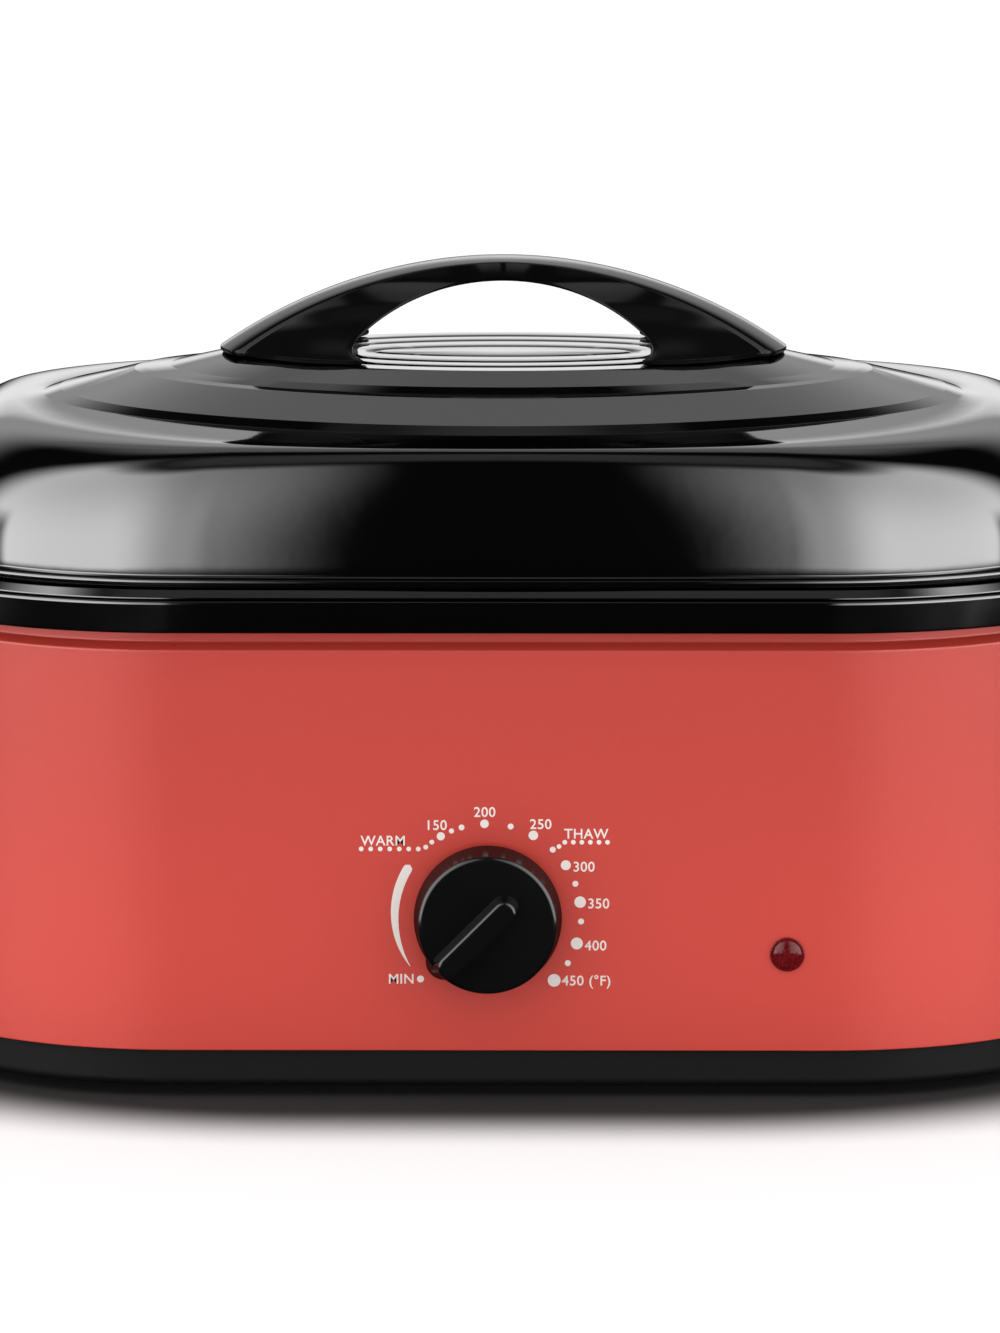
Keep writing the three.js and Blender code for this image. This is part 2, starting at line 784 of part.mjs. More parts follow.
// One section of the arched handle, share 0 at a foot and 1 at the crown. Across the section,
// place 0 is the ridge of the arch's back and place 1 its inner edge.
function archSection(share, sign, footHeightHere) {
  const halfSpan = archSpan / 2;
  const rise = archRise - archFootHeight;
  const arcRadius = (halfSpan ** 2 + rise ** 2) / (2 * rise);
  const outerX = halfSpan * (1 - share);
  const outerRise = rise - arcRadius + Math.sqrt(arcRadius ** 2 - outerX ** 2);
  const innerX = (archOpening / 2) * Math.cos(quarterTurn * share);
  const innerTop = rise - archThickness;
  const innerRise = innerTop * Math.sin(quarterTurn * share);
  const climb = innerRise / innerTop;
  const flare = 1 - (1 - climb) ** archFlarePower;
  const innerHalf = mix(archFootDepth, archCrownDepth, flare) / 2;
  const backHalf = mix(archFootBack, archCrownBack, share) / 2;
  const crease = mix(archCreaseShares.atFoot, archCreaseShares.atCrown, share ** 2);
  const halfWidthAt = (place) => {
    if (place <= crease) return backHalf * Math.sin(quarterTurn * (place / crease)) ** archBackPower;
    const face = (place - crease) / (1 - crease);
    return mix(backHalf, innerHalf, 1 - (1 - face) ** archFacePower);
  };
  const facePlaces = archFaceShares.map((faceShare) => mix(crease, 1, faceShare));
  const places = [0, crease * archBackShare, crease, ...facePlaces, 1];
  const across = (place, side) =>
    new THREE.Vector3(
      sign * mix(outerX, innerX, place),
      side * halfWidthAt(place),
      mix(outerRise, innerRise, place) + footHeightHere,
    );
  const front = places.map((place) => across(place, -1));
  const back = places.slice(1).reverse().map((place) => across(place, 1));
  return [...front, ...back];
}

function lidHandle() {
  const half = archSections / 2;
  const rings = [archSection(0, -1, 0)];
  for (let i = 0; i <= archSections; i++) {
    const share = 1 - Math.abs(i - half) / half;
    rings.push(archSection(share, i < half ? -1 : 1, archFootHeight));
  }
  rings.push(archSection(0, 1, 0));
  const arch = skin(rings).translate(0, 0, archSeat);
  const bores = sides.map((side) =>
    rod(lidScrewRadius + gap, lidScrewReach + gap + overrun, smallFacets).translate(
      side.sign * lidScrewFromMiddle,
      0,
      archSeat + (lidScrewReach + gap - overrun) / 2,
    ),
  );
  return node("lid_handle", cut(arch, ...bores), blackPlastic);
}

// Screws and washers that hold the handle from inside the dome.
function lidFasteners() {
  const underLid = crownLevel - lidSheet - ringGrooveDepth - gap;
  const washerFoot = underLid - lidWasherSheet;
  const headTop = washerFoot - gap;
  const shank = archSeat + lidScrewReach - headTop;
  return sides.flatMap((side) => {
    const x = side.sign * lidScrewFromMiddle;
    const ring = washer(
      lidScrewRadius + gap,
      lidWasherRadius,
      washerFoot,
      washerFoot + lidWasherSheet,
      smallFacets,
    );
    const plate = node(`lid_washer_${side.word}`, ring, plated);
    plate.position.x = x;
    const body = screw(lidHeadRadius, lidHeadHeight, lidScrewRadius, shank);
    const fastener = node(`lid_screw_${side.word}`, body, plated);
    fastener.rotation.x = halfTurn;
    fastener.position.set(x, 0, headTop - lidHeadHeight);
    return [plate, fastener];
  });
}

// Side handle: a flat loop with a finger gap, its back against the wall.
function earGeometry() {
  const halfWidth = earWidth / 2 - earBevel;
  const near = earBevel;
  const far = earReach - earBevel;
  const round = earCorner - earBevel;
  const outline = new THREE.Shape();
  outline.moveTo(near, -halfWidth);
  outline.lineTo(far - round, -halfWidth);
  outline.absarc(far - round, round - halfWidth, round, -quarterTurn, 0, false);
  outline.absarc(far - round, halfWidth - round, round, 0, quarterTurn, false);
  outline.lineTo(near, halfWidth);
  outline.closePath();
  const gapHalf = earGapWidth / 2 + earBevel;
  const gapNear = earPad - earBevel;
  const gapFar = earReach - earBar + earBevel;
  const gapRound = (gapFar - gapNear) / 2;
  const gapMiddle = (gapNear + gapFar) / 2;
  const fingers = new THREE.Path();
  fingers.absarc(gapMiddle, gapHalf - gapRound, gapRound, 0, halfTurn, false);
  fingers.absarc(gapMiddle, gapRound - gapHalf, gapRound, halfTurn, fullTurn, false);
  fingers.closePath();
  outline.holes.push(fingers);
  return new THREE.ExtrudeGeometry(outline, {
    depth: earHeight - 2 * earBevel,
    bevelSize: earBevel,
    bevelThickness: earBevel,
    bevelSegments: 2,
    curveSegments: 5,
  }).translate(0, 0, earBevel - earHeight / 2);
}

function sideHandles() {
  const bores = faces.map((face) =>
    rodAlongX(earScrewRadius + gap, earScrewReach + gap + overrun, smallFacets).translate(
      (earScrewReach + gap - overrun) / 2,
      face.sign * earScrewFromMiddle,
      0,
    ),
  );
  const ear = cut(earGeometry(), ...bores);
  const shank = earScrewReach + gap + housingSheet + gap;
  return sides.map((side) => {
    const group = new THREE.Group();
    group.position.set(side.sign * (housingPlan.halfX + gap), 0, earLevel);
    group.rotation.z = side.sign > 0 ? 0 : halfTurn;
    group.add(node(`side_handle_${side.word}`, ear, blackPlastic));
    faces.forEach((face) => {
      const body = screw(earHeadRadius, earHeadHeight, earScrewRadius, shank);
      const fastener = node(`handle_screw_${side.word}_${face.word}`, body, plated);
      fastener.rotation.y = -quarterTurn;
      const headBack = gap + housingSheet + gap + earHeadHeight;
      fastener.position.set(-headBack, face.sign * side.sign * earScrewFromMiddle, 0);
      group.add(fastener);
    });
    return group;
  });
}

// A round-ended bar from one point of the X axis to another, its rings ready for a skin.
function barPlan(from, to, width) {
  const half = width / 2;
  const arc = (x, start) =>
    Array.from({ length: smallFacets / 2 + 1 }, (_, i) => {
      const angle = start + (halfTurn * i) / (smallFacets / 2);
      return new THREE.Vector2(x + half * Math.cos(angle), half * Math.sin(angle));
    });
  return [...arc(to - half, -quarterTurn), ...arc(from + half, quarterTurn)];
}

// Knob: a drafted disc with a blade across it, hollow behind round a bored hub.
function knobGeometry() {
  const lip = knobFaceRadius - knobEdge;
  const disc = turned(
    [
      [0, 0],
      [knobBackRadius - knobEdge, 0],
      [knobBackRadius, knobEdge],
      [knobFaceRadius, knobDepth - knobEdge],
      [lip, knobDepth],
      [0, knobDepth],
    ],
    2 * roundFacets,
  );
  const top = knobDepth + bladeRise;
  const blade = skin([
    atLevel(barPlan(-bladeFootTail, bladeFootTip, bladeFootWidth), 0),
    atLevel(barPlan(-bladeTail, bladeTip, bladeWidth), top - bladeEdge),
    atLevel(barPlan(bladeEdge - bladeTail, bladeTip - bladeEdge, bladeWidth - 2 * bladeEdge), top),
  ]).rotateZ(radians(bladeAngle));
  const hollow = washer(knobHubRadius, knobFaceRadius - knobShell, -overrun, knobHollow);
  const bore = rod(shaftRadius + gap + clipSheet, 2 * shaftInKnob, smallFacets);
  return cut(join(disc, blade), hollow, bore);
}

// Everything that turns with the dial. The group's +Z looks out of the housing, to -Y.
function dial() {
  const group = new THREE.Group();
  group.rotation.x = quarterTurn;
  group.position.set(dialX, -housingPlan.halfY, dialHeight);
  const knob = node("knob", knobGeometry(), blackPlastic);
  knob.position.z = knobStandOff;
  const shaftTop = knobStandOff + shaftInKnob - gap;
  const shaftLength = shaftTop + housingSheet + gap + shaftInThermostat - gap;
  const shaftRod = rod(shaftRadius, shaftLength, smallFacets);
  const flat = new THREE.BoxGeometry(2 * shaftRadius, shaftFlat, clipLength + gap);
  flat.translate(0, shaftRadius - shaftFlat / 2, (shaftLength - clipLength - gap) / 2);
  const shaft = node("dial_shaft", cut(shaftRod, flat), plated);
  shaft.position.z = shaftTop - shaftLength / 2;
  const clipGeometry = new THREE.BoxGeometry(shaftRadius, clipSheet, clipLength);
  const clip = node("knob_clip", clipGeometry, plated);
  clip.position.set(0, shaftRadius - shaftFlat + gap + clipSheet / 2, shaftTop - clipLength / 2);
  group.add(knob, shaft, clip);
  return group;
}

// Thermostat: a case with a bushing through the wall, two tabs below and a nut outside.
function thermostatAndNut() {
  const group = new THREE.Group();
  group.rotation.x = quarterTurn;
  group.position.set(dialX, -housingPlan.halfY, dialHeight);
  const caseFront = -housingSheet - gap;
  const box = new THREE.BoxGeometry(thermostatWidth, thermostatHeight, thermostatDepth);
  box.translate(0, 0, caseFront - thermostatDepth / 2);
  const bushingLength = bushingReach - caseFront + overrun;
  const bushing = rod(bushingRadius, bushingLength, roundFacets);
  bushing.translate(0, 0, bushingReach - bushingLength / 2);
  const tabs = sides.map((side) =>
    new THREE.BoxGeometry(tabWidth, tabHeight + overrun, tabSheet).translate(
      side.sign * tabFromMiddle,
      (overrun - tabHeight - thermostatHeight) / 2,
      caseFront - thermostatDepth / 2,
    ),
  );
  const wayLength = bushingReach + overrun - caseFront + shaftInThermostat;
  const shaftWay = rod(shaftRadius + gap, wayLength, smallFacets);
  shaftWay.translate(0, 0, bushingReach + overrun - wayLength / 2);
  const body = cut(join(box, bushing, ...tabs), shaftWay);
  group.add(node("thermostat", body, phenolic));
  const hexRadius = nutWidth / Math.sqrt(3);
  const hex = rod(hexRadius, nutHeight, 6);
  const ring = cut(hex, rod(bushingRadius + gap, nutHeight + overrun, roundFacets));
  const nut = node("thermostat_nut", ring, plated);
  nut.position.z = gap + nutHeight / 2;
  group.add(nut);
  return group;
}

// Lamp: a domed lens pushed into the wall, and the holder of its glow lamp behind.
function lamp() {
  const group = new THREE.Group();
  group.rotation.x = quarterTurn;
  group.position.set(lampX, -housingPlan.halfY, lampHeight);
  const flangeFoot = gap;
  const rim = flangeFoot + lensFlangeSheet;
  const lens = turned([
    [0, -housingSheet - lensStem],
    [lensRadius, -housingSheet - lensStem],
    [lensRadius, flangeFoot],
    [lensRadius + lensFlange, flangeFoot],
    [lensRadius + lensFlange, rim],
    [lensRadius * Math.cos(quarterTurn / 3), mix(rim, lensProud, Math.sin(quarterTurn / 3))],
    [lensRadius * Math.cos(quarterTurn / 1.5), mix(rim, lensProud, Math.sin(quarterTurn / 1.5))],
    [0, lensProud],
  ]);
  group.add(node("lamp_lens", lens, redLens));
  const holder = rod(holderRadius, holderLength, smallFacets);
  const mesh = node("lamp_holder", holder, insulator);
  mesh.position.z = -housingSheet - lensStem - gap - holderLength / 2;
  group.add(mesh);
  return group;
}

// Terminal block on the tray's floor at the back.
function terminalBlock() {
  const block = new THREE.BoxGeometry(blockWidth, blockDepth, blockHeight);
  const mesh = node("terminal_block", block, insulator);
  const backFace = housingPlan.halfY - housingSheet - skirtSlip - baseSheet - gap;
  mesh.position.set(blockX, backFace - blockDepth / 2, trayTop + gap + blockHeight / 2);
  return mesh;
}

// Leads from the block, under the shield and up to the thermostat's tabs.
function leads() {
  const start = housingPlan.halfY - housingSheet - skirtSlip - baseSheet - 2 * gap - blockDepth;
  const frontFace = -housingPlan.halfY + housingSheet + gap + thermostatDepth / 2;
  const tabFoot = dialHeight - thermostatHeight / 2 - tabHeight - gap;
  const level = trayTop + leadHeight;
  const lowLevel = tabFoot - leadHeight / 2;
  const section = new THREE.Shape();
  section.absarc(0, 0, leadRadius, 0, fullTurn, false);
  return sides.map((side) => {
    const fromX = blockX + (side.sign * leadSpacing) / 2;
    const toX = dialX + side.sign * tabFromMiddle;
    const run = new THREE.CatmullRomCurve3([
      new THREE.Vector3(fromX, start, level),
      new THREE.Vector3(fromX, start - leadBow, level),
      new THREE.Vector3(mix(fromX, toX, 0.5) + side.sign * leadBow, 0, level),
      new THREE.Vector3(toX, frontFace + leadBow, mix(level, lowLevel, 0.1)),
      new THREE.Vector3(toX, frontFace + leadHeight / 2, mix(level, lowLevel, 0.5)),
      new THREE.Vector3(toX, frontFace, tabFoot - leadRadius),
      new THREE.Vector3(toX, frontFace, tabFoot),
    ]);
    const tube = new THREE.ExtrudeGeometry(section, {
      steps: leadSteps,
      curveSegments: leadFacets / 2,
      bevelEnabled: false,
      extrudePath: run,
    });
    return node(`lead_${side.word}`, tube, leadSleeve);
  });
}

// Cord gland: a flanged bush through the back wall, held by a collar inside.
function cordGland() {
  const inside = -housingSheet - gap - glandCollarLength;
  const bush = turned([
    [glandBore, inside],
    [glandRadius, inside],
    [glandRadius, gap],
    [glandFlangeRadius, gap],
    [glandFlangeRadius - glandFlangeSheet / 2, gap + glandFlangeSheet],
    [glandBore, gap + glandFlangeSheet],
    [glandBore, inside],
  ]);
  const mesh = node("cord_gland", bush, blackPlastic);
  mesh.rotation.x = -quarterTurn;
  mesh.position.set(glandX, housingPlan.halfY, glandHeight);
  return mesh;
}

// Origin: halfway between the knob's face and the rim's back edge.
const frontReach = housingPlan.halfY + knobStandOff + knobDepth + bladeRise;
const backReach = housingPlan.halfY + rimOverhang;

const heaterInset = wellSheet + gap;
const heaterFoot = wellFloor + heaterLift;
const blanketInset = heaterInset + heaterSheet + gap;
const blanketFoot = wellFloor + blanketLift;
const blanketHeight = housingTop - housingSheet - blanketUnder - blanketFoot;

const roaster = new THREE.Group();
roaster.name = "electric_roaster";
roaster.position.y = (frontReach - backReach) / 2;
roaster.add(
  housingWall(),
  baseTray(),
  ...feet(),
  rimTrim(),
  heatingWell(),
  band("heater_band", heaterInset, heaterSheet, heaterFoot, heaterHeight, elementTape),
  band("insulation_blanket", blanketInset, blanketThickness, blanketFoot, blanketHeight, glassFibre),
  heatShield(),
  ...shieldPosts(),
  cookwell(),
  rack(),
  lidShell(),
  lidHandle(),
  ...lidFasteners(),
  ...sideHandles(),
  dial(),
  thermostatAndNut(),
  lamp(),
  terminalBlock(),
  ...leads(),
  cordGland(),
);
export default roaster;
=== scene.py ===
import json
import math

import bpy
import numpy as np
from bpy.props import FloatProperty, FloatVectorProperty, PointerProperty
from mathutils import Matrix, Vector


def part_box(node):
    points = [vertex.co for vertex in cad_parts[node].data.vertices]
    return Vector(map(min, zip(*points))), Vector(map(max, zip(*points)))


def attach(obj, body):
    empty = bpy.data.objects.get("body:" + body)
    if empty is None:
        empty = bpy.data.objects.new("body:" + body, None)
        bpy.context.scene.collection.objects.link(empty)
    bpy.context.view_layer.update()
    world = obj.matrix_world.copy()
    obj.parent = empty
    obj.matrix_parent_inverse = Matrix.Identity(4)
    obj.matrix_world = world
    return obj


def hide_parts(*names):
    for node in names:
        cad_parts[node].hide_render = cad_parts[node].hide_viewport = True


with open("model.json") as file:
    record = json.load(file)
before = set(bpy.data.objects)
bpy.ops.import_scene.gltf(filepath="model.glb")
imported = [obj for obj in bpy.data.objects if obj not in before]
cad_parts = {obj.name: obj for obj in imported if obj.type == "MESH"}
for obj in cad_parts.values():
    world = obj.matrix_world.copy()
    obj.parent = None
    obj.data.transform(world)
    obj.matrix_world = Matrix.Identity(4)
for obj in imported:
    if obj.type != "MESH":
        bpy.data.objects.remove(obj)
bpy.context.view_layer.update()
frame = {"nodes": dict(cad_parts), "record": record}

bl_info = {
    "name": "Electric roaster oven",
    "version": (1, 0, 0),
    "blender": (4, 5, 0),
    "location": "3D View > Sidebar > Roaster",
    "description": "Dresses the frame of a countertop roaster oven with its pieces and finishes",
    "category": "Add Mesh",
}

MM = 0.001
QUARTER = math.pi / 2
TURN = 2 * math.pi


class Extent:
    """Lowest and highest corner of a node of the frame, with its middle and its half size."""

    def __init__(self, node):
        self.low, self.high = (np.array(corner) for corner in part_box(node))
        self.middle = (self.low + self.high) / 2
        self.half = (self.high - self.low) / 2


WALL = Extent("housing_wall")
TRAY = Extent("base_tray")
RIM = Extent("rim_trim")
WELL = Extent("heating_well")
PAN = Extent("cookwell")
LID = Extent("lid_shell")
ARCH = Extent("lid_handle")
EAR = Extent("side_handle_right")
KNOB = Extent("knob")
LENS = Extent("lamp_lens")
GLAND = Extent("cord_gland")
MIDDLE = np.array([0, WALL.middle[1], 0])  # the housing's axis, at the table
FRONT = WALL.low[1]  # outer face of the front wall
BACK = WALL.high[1]
LEFT, RIGHT, UP = (-1, 0, 0), (1, 0, 0), (0, 0, 1)
SIDES = {"left": -1, "right": 1}
FACES = {"front": -1, "back": 1}


# Settings


def length(name, description, millimetres):
    """A length property whose default is given in millimetres."""
    return FloatProperty(
        name=name, description=description, default=millimetres * MM, unit="LENGTH", precision=5
    )


def share(name, description, default):
    return FloatProperty(name=name, description=description, default=default, subtype="FACTOR")


def angle(name, description, degrees):
    return FloatProperty(
        name=name, description=description, default=math.radians(degrees), subtype="ANGLE"
    )


def colour(name, description, default):
    return FloatVectorProperty(
        name=name, description=description, default=default, subtype="COLOR", size=3, min=0, max=1
    )


class RoasterHousing(bpy.types.PropertyGroup):
    corner: length("Corner", "Plan radius of the housing's corners", 76)
    sheet: length("Sheet", "Thickness of the painted sheet", 1.2)
    skirt_drop: length("Skirt drop", "How far the sheet hangs below the frame's wall", 1.3)
    neck_height: length("Neck height", "Height of the narrower top of the wall", 9.2)
    neck_inset: length("Neck inset", "How far the neck stands in from the wall", 2.2)
    shoulder_round: length("Shoulder round", "Rounding of the step below the neck", 1)
    flange: length("Flange", "Width of the inward flange at the top of the wall", 12)
    tray_sheet: length("Tray sheet", "Thickness of the base tray", 1.5)
    tray_round: length("Tray round", "Rounding of the tray's lower edge", 2.4)
    rim_sheet: length("Rim sheet", "Thickness of the rim", 1.5)
    rim_round: length("Rim round", "Rounding of the rim's upper edge", 0.8)
    well_width: length("Well width", "Half width inside the heating well", 150)
    well_depth: length("Well depth", "Half depth inside the heating well", 112)
    well_corner: length("Well corner", "Plan radius of the heating well", 59)
    well_round: length("Well round", "Rounding of the heating well's floor", 10)


class RoasterCookwell(bpy.types.PropertyGroup):
    slack: length("Slack", "Gap between the cookwell's wall and the heating well's", 5)
    draft: length("Draft", "How far each wall leans in from top to floor", 6)
    sheet: length("Sheet", "Thickness of the enamelled sheet", 1.2)
    floor_round: length("Floor round", "Rounding between the wall and the floor", 14)
    bead_width: length("Bead width", "Width of the rolled edge", 3)
    bead_slope: length("Bead slope", "How far the rolled edge leans back", 2.1)
    rack_inset: length("Rack inset", "Rack's frame inside the floor of the cookwell", 16)
    rack_wire: length("Frame wire", "Radius of the rack's frame wire", 2.2)
    rack_bar: length("Bar wire", "Radius of the rack's bars", 1.5)
    rack_leg: length("Leg wire", "Radius of the rack's legs", 2)
    rack_leg_x: length("Leg place", "Legs from the middle of the rack", 70)


class RoasterLid(bpy.types.PropertyGroup):
    corner: length("Corner", "Plan radius of the lid's edge", 78)
    sheet: length("Sheet", "Thickness of the enamelled sheet", 1.2)
    bead_height: length("Bead height", "Height of the lid's rolled edge", 2.4)
    bead_width: length("Bead width", "Width of the lid's rolled edge", 4)
    bow: length("Bow", "How far the front and back fall away at the sides", 6)
    point: share("Point", "How pointed the ovals are", 0.1)
    groove_width: length("Groove width", "Width of a ring on the crown", 5)
    groove_depth: length("Groove depth", "Depth of a ring on the crown", 0.5)


class RoasterHandles(bpy.types.PropertyGroup):
    opening: length("Finger gap", "Widest opening under the arch", 94.4)
    thickness: length("Crown thickness", "Arch's thickness at its crown", 6)
    foot_height: length("Foot height", "Upright edge of a foot of the arch", 1.5)
    foot_depth: length("Foot depth", "Inner edge of a foot, front to back", 84)
    toe: length("Toe", "How far a foot's inner corners reach under the gap", 7.5)
    crown_depth: length("Crown depth", "Inner edge at the crown, front to back", 25)
    foot_back: length("Foot back", "Outer edge of a foot between its creases", 38)
    crown_back: length("Crown back", "Outer edge at the crown between its creases", 24)
    edge_round: length("Edge round", "Rounding of the arch's inner edges", 1.2)
    ear_pad: length("Pad", "Side handle's bar against the wall", 8)
    ear_bar: length("Bar", "Side handle's bar beyond the finger gap", 11)
    ear_gap: length("Gap width", "Width of a side handle's finger gap", 72)
    ear_corner: length("Ear corner", "Plan radius of a side handle's outer corners", 22)
    ear_round: length("Ear round", "Rounding of a side handle's edges", 3)


class RoasterDial(bpy.types.PropertyGroup):
    axis_x: length("Dial place", "Dial's axis from the middle of the housing", -3.5)
    height: length("Dial height", "Dial's axis above the table", 52)
    stand_off: length("Stand-off", "Knob's back from the wall", 4)
    depth: length("Depth", "Thickness of the knob's disc", 12)
    back_radius: length("Back radius", "Radius at the knob's back", 20.7)
    face_radius: length("Face radius", "Radius at the knob's face", 19.2)
    edge_round: length("Edge round", "Rounding of the knob's face", 1.0)
    blade_width: length("Blade width", "Width of the blade at its top", 6.3)
    blade_foot: length("Blade foot", "Width of the blade at the knob's back", 10.5)
    blade_angle: angle("Blade angle", "Way the blade points at the lowest setting", 225)
    mark_radius: length("Mark radius", "Circle that the marks lie on", 26)
    figure_height: length("Figure height", "Height of the printed figures", 2.75)
    ink: length("Ink", "Thickness of the print", 0.05)
    lamp_x: length("Lamp place", "Lamp from the middle of the housing", 80)
    lamp_height: length("Lamp height", "Lamp above the table", 41.2)


class RoasterFinish(bpy.types.PropertyGroup):
    paint: colour("Paint", "Red of the housing", (0.585, 0.052, 0.036))
    enamel: colour("Enamel", "Black of the lid, rim and cookwell", (0.0008, 0.0008, 0.0008))
    plastic: colour("Plastic", "Black of the handles and knob", (0.003, 0.003, 0.0032))
    satin: colour("Satin black", "Base tray", (0.0045, 0.0045, 0.0048))
    print_ink: colour("Print", "Marks round the dial", (0.86, 0.78, 0.74))
    lens: colour("Lens", "Indicator lens", (0.13, 0.006, 0.008))
    steel: colour("Steel", "Plated steel", (0.56, 0.56, 0.57))
    floor: colour("Floor", "Studio floor", (0.88, 0.88, 0.88))


class RoasterStudio(bpy.types.PropertyGroup):
    lens: FloatProperty(
        name="Lens", description="Focal length on a 36 mm sensor", default=230.43, unit="CAMERA"
    )
    azimuth: angle("Azimuth", "Camera round the housing from its front", 0.37)
    elevation: angle("Elevation", "Camera above the horizon", 8.38)
    distance: length("Distance", "Camera from the point that it looks at", 2504.1)
    aim_x: length("Aim x", "Point that the camera looks at, from the housing's axis", -1)
    aim_height: length("Aim height", "The same point above the table", 102.5)
    soft_light: FloatProperty(name="Soft light", description="All-round light", default=1.2)
    side_light: FloatProperty(name="Side light", description="Soft boxes in the gloss", default=6.75)
    back_light: FloatProperty(name="Back light", description="Backdrop in the gloss", default=8.0)
    floor_radius: length("Floor radius", "Radius of the studio floor", 14000)
    # painted shadow on the floor: where its darkest part ends and where it fades out
    painted_shadow_near: length("Shadow near", "Deepest shadow's reach from the base", 18)
    painted_shadow_far: length("Shadow far", "Whole shadow's reach from the base", 72)


GROUPS = {
    "roaster_housing": RoasterHousing,
    "roaster_cookwell": RoasterCookwell,
    "roaster_lid": RoasterLid,
    "roaster_handles": RoasterHandles,
    "roaster_dial": RoasterDial,
    "roaster_finish": RoasterFinish,
    "roaster_studio": RoasterStudio,
}


# Surfaces


def station(half_x, half_y, corner, level, square=1.0, centre=(0.0, 0.0), lift=0.0):
    """One row of a loft: the half size of a rounded rectangle, its level, how square it is, where
    its middle is, how much higher it is at the front and back, and its four corner radii."""
    corners = np.broadcast_to(corner, 4)
    return np.array([half_x, half_y, level, square, *centre, lift, *corners], float)


def offset(plan, out, level):
    """A station that follows the plan (half width, half depth, corner), set out from it."""
    return station(plan[0] + out, plan[1] + out, plan[2] + out, level)


def rounded(stations, radii, closed=False, steps=6):
    """The stations with their corners rounded, in the plane of half width and level. A corner of
    radius r becomes the arc that touches both its sides: the rational quadratic curve from one
    touching point to the other with the corner as control point, weighted by the cosine of half
    the turn. The touching points lie r tan(turn / 2) from the corner, or at most part of the
    shorter side from it. A row just past each keeps the straight sides' shading flat."""
    longest, past = 0.4, 1.2  # share of the shorter side, and of the reach
    rows = np.array(stations)
    radii = np.broadcast_to(radii, len(rows))
    share = np.linspace(0, 1, steps + 1)[:, None]
    made = []
    for i, (row, radius) in enumerate(zip(rows, radii)):
        inner = closed or 0 < i < len(rows) - 1
        if not inner or radius <= 0:
            made.append(row[None])
            continue
        before, after = rows[i - 1] - row, rows[(i + 1) % len(rows)] - row
        flat = np.array([before[[0, 2]], after[[0, 2]]])
        sizes = np.hypot(*flat.T)
        cosine = np.clip((flat[0] @ flat[1]) / sizes.prod(), -1, 1)
        turn = math.pi - math.acos(cosine)
        reach = min(radius * math.tan(turn / 2), longest * sizes.min())
        into, out = before * reach / sizes[0], after * reach / sizes[1]
        start, end = row + into, row + out
        weight = 2 * math.cos(turn / 2) * share * (1 - share)
        above = (1 - share) ** 2 * start + weight * row + share**2 * end
        arc = above / ((1 - share) ** 2 + weight + share**2)
        made.append(np.concatenate([(row + past * into)[None], arc, (row + past * out)[None]]))
    return np.concatenate(made)


class Outline:
    """Places round a rounded rectangle, anticlockwise from above: each corner's arc turns the way
    out through a right angle, and the side after it slides from that corner to the next."""

    SIGNS = np.array([[1, 1], [-1, 1], [-1, -1], [1, -1]])

    def __init__(self, arc=22, long_side=20, short_side=14):
        turns, weights = [], []
        for corner, side in enumerate((long_side, short_side) * 2):
            shares = np.concatenate([np.zeros(arc), np.arange(side) / side])
            turns.append(corner + np.concatenate([np.arange(arc) / arc, np.ones(side)]))
            here, ahead = np.eye(4)[corner], np.eye(4)[(corner + 1) % 4]
            weights.append((1 - shares)[:, None] * here + shares[:, None] * ahead)
        self.turn = QUARTER * np.concatenate(turns)
        self.weights = np.concatenate(weights)
        self.signs = self.weights @ self.SIGNS

    def loft(self, stations):
        """Grid of points, one row for each station: sign (half - radius) + radius (cos, sin), then
        drawn towards the ellipse of that size as the station's square falls from 1 to 0, and
        raised by lift (y / half)^2."""
        half_x, half_y, level, square, x, y, lift = np.array(stations).T[:7, :, None]
        radius = np.array(stations)[:, 7:] @ self.weights.T
        radius = np.minimum(radius, np.minimum(half_x, half_y))
        along_x = self.signs[:, 0] * (half_x - radius) + radius * np.cos(self.turn)
        along_y = self.signs[:, 1] * (half_y - radius) + radius * np.sin(self.turn)
        place = np.arctan2(along_y / half_y, along_x / half_x)
        along_x = square * along_x + (1 - square) * half_x * np.cos(place)
        along_y = square * along_y + (1 - square) * half_y * np.sin(place)
        level = level + lift * (along_y / half_y) ** 2
        return np.stack(np.broadcast_arrays(along_x + x, along_y + y, level), -1)


ROUND = Outline()


def skin(grid, hoop=False, poles=(False, False)):
    """Points and faces over a grid whose columns close on themselves. A hoop closes its rows too. A
    pole closes the first or the last row with a fan to its middle."""
    rows, columns = grid.shape[:2]
    at = np.arange(rows * columns).reshape(rows, columns)
    here, ahead = (at, np.roll(at, -1, 0)) if hoop else (at[:-1], at[1:])
    faces = np.stack([here, np.roll(here, -1, 1), np.roll(ahead, -1, 1), ahead], -1)
    faces = faces.reshape(-1, 4).tolist()
    points = [grid.reshape(-1, 3)]
    for row, pole in zip((0, -1), poles):
        if pole:
            hub = np.full(columns, sum(len(p) for p in points))
            edge = [at[row], np.roll(at[row], -1)]
            fan = [hub, *(edge if row else edge[::-1])]
            faces += np.stack(fan, -1).tolist()
            points.append(grid[row].mean(0)[None])
    return np.concatenate(points), faces


def solid(grid):
    return skin(grid, poles=(True, True))


def hoop(grid):
    return skin(grid, hoop=True)


def turned(profile, facets=64):
    """A turned shape on the Z axis: each (radius, height) of the profile is carried round it."""
    radius, height = np.array(profile, float).T[:, :, None]
    around = TURN * np.arange(facets) / facets
    level = np.broadcast_to(height, (len(profile), facets))
    return np.stack([radius * np.cos(around), radius * np.sin(around), level], -1)


def soften(profile, radius, closed=False, steps=4):
    """A (radius, height) profile with its corners rounded, as the stations of a loft are."""
    rows = [station(r, r, 0, z) for r, z in profile]
    return rounded(rows, radius, closed, steps)[:, [0, 2]]


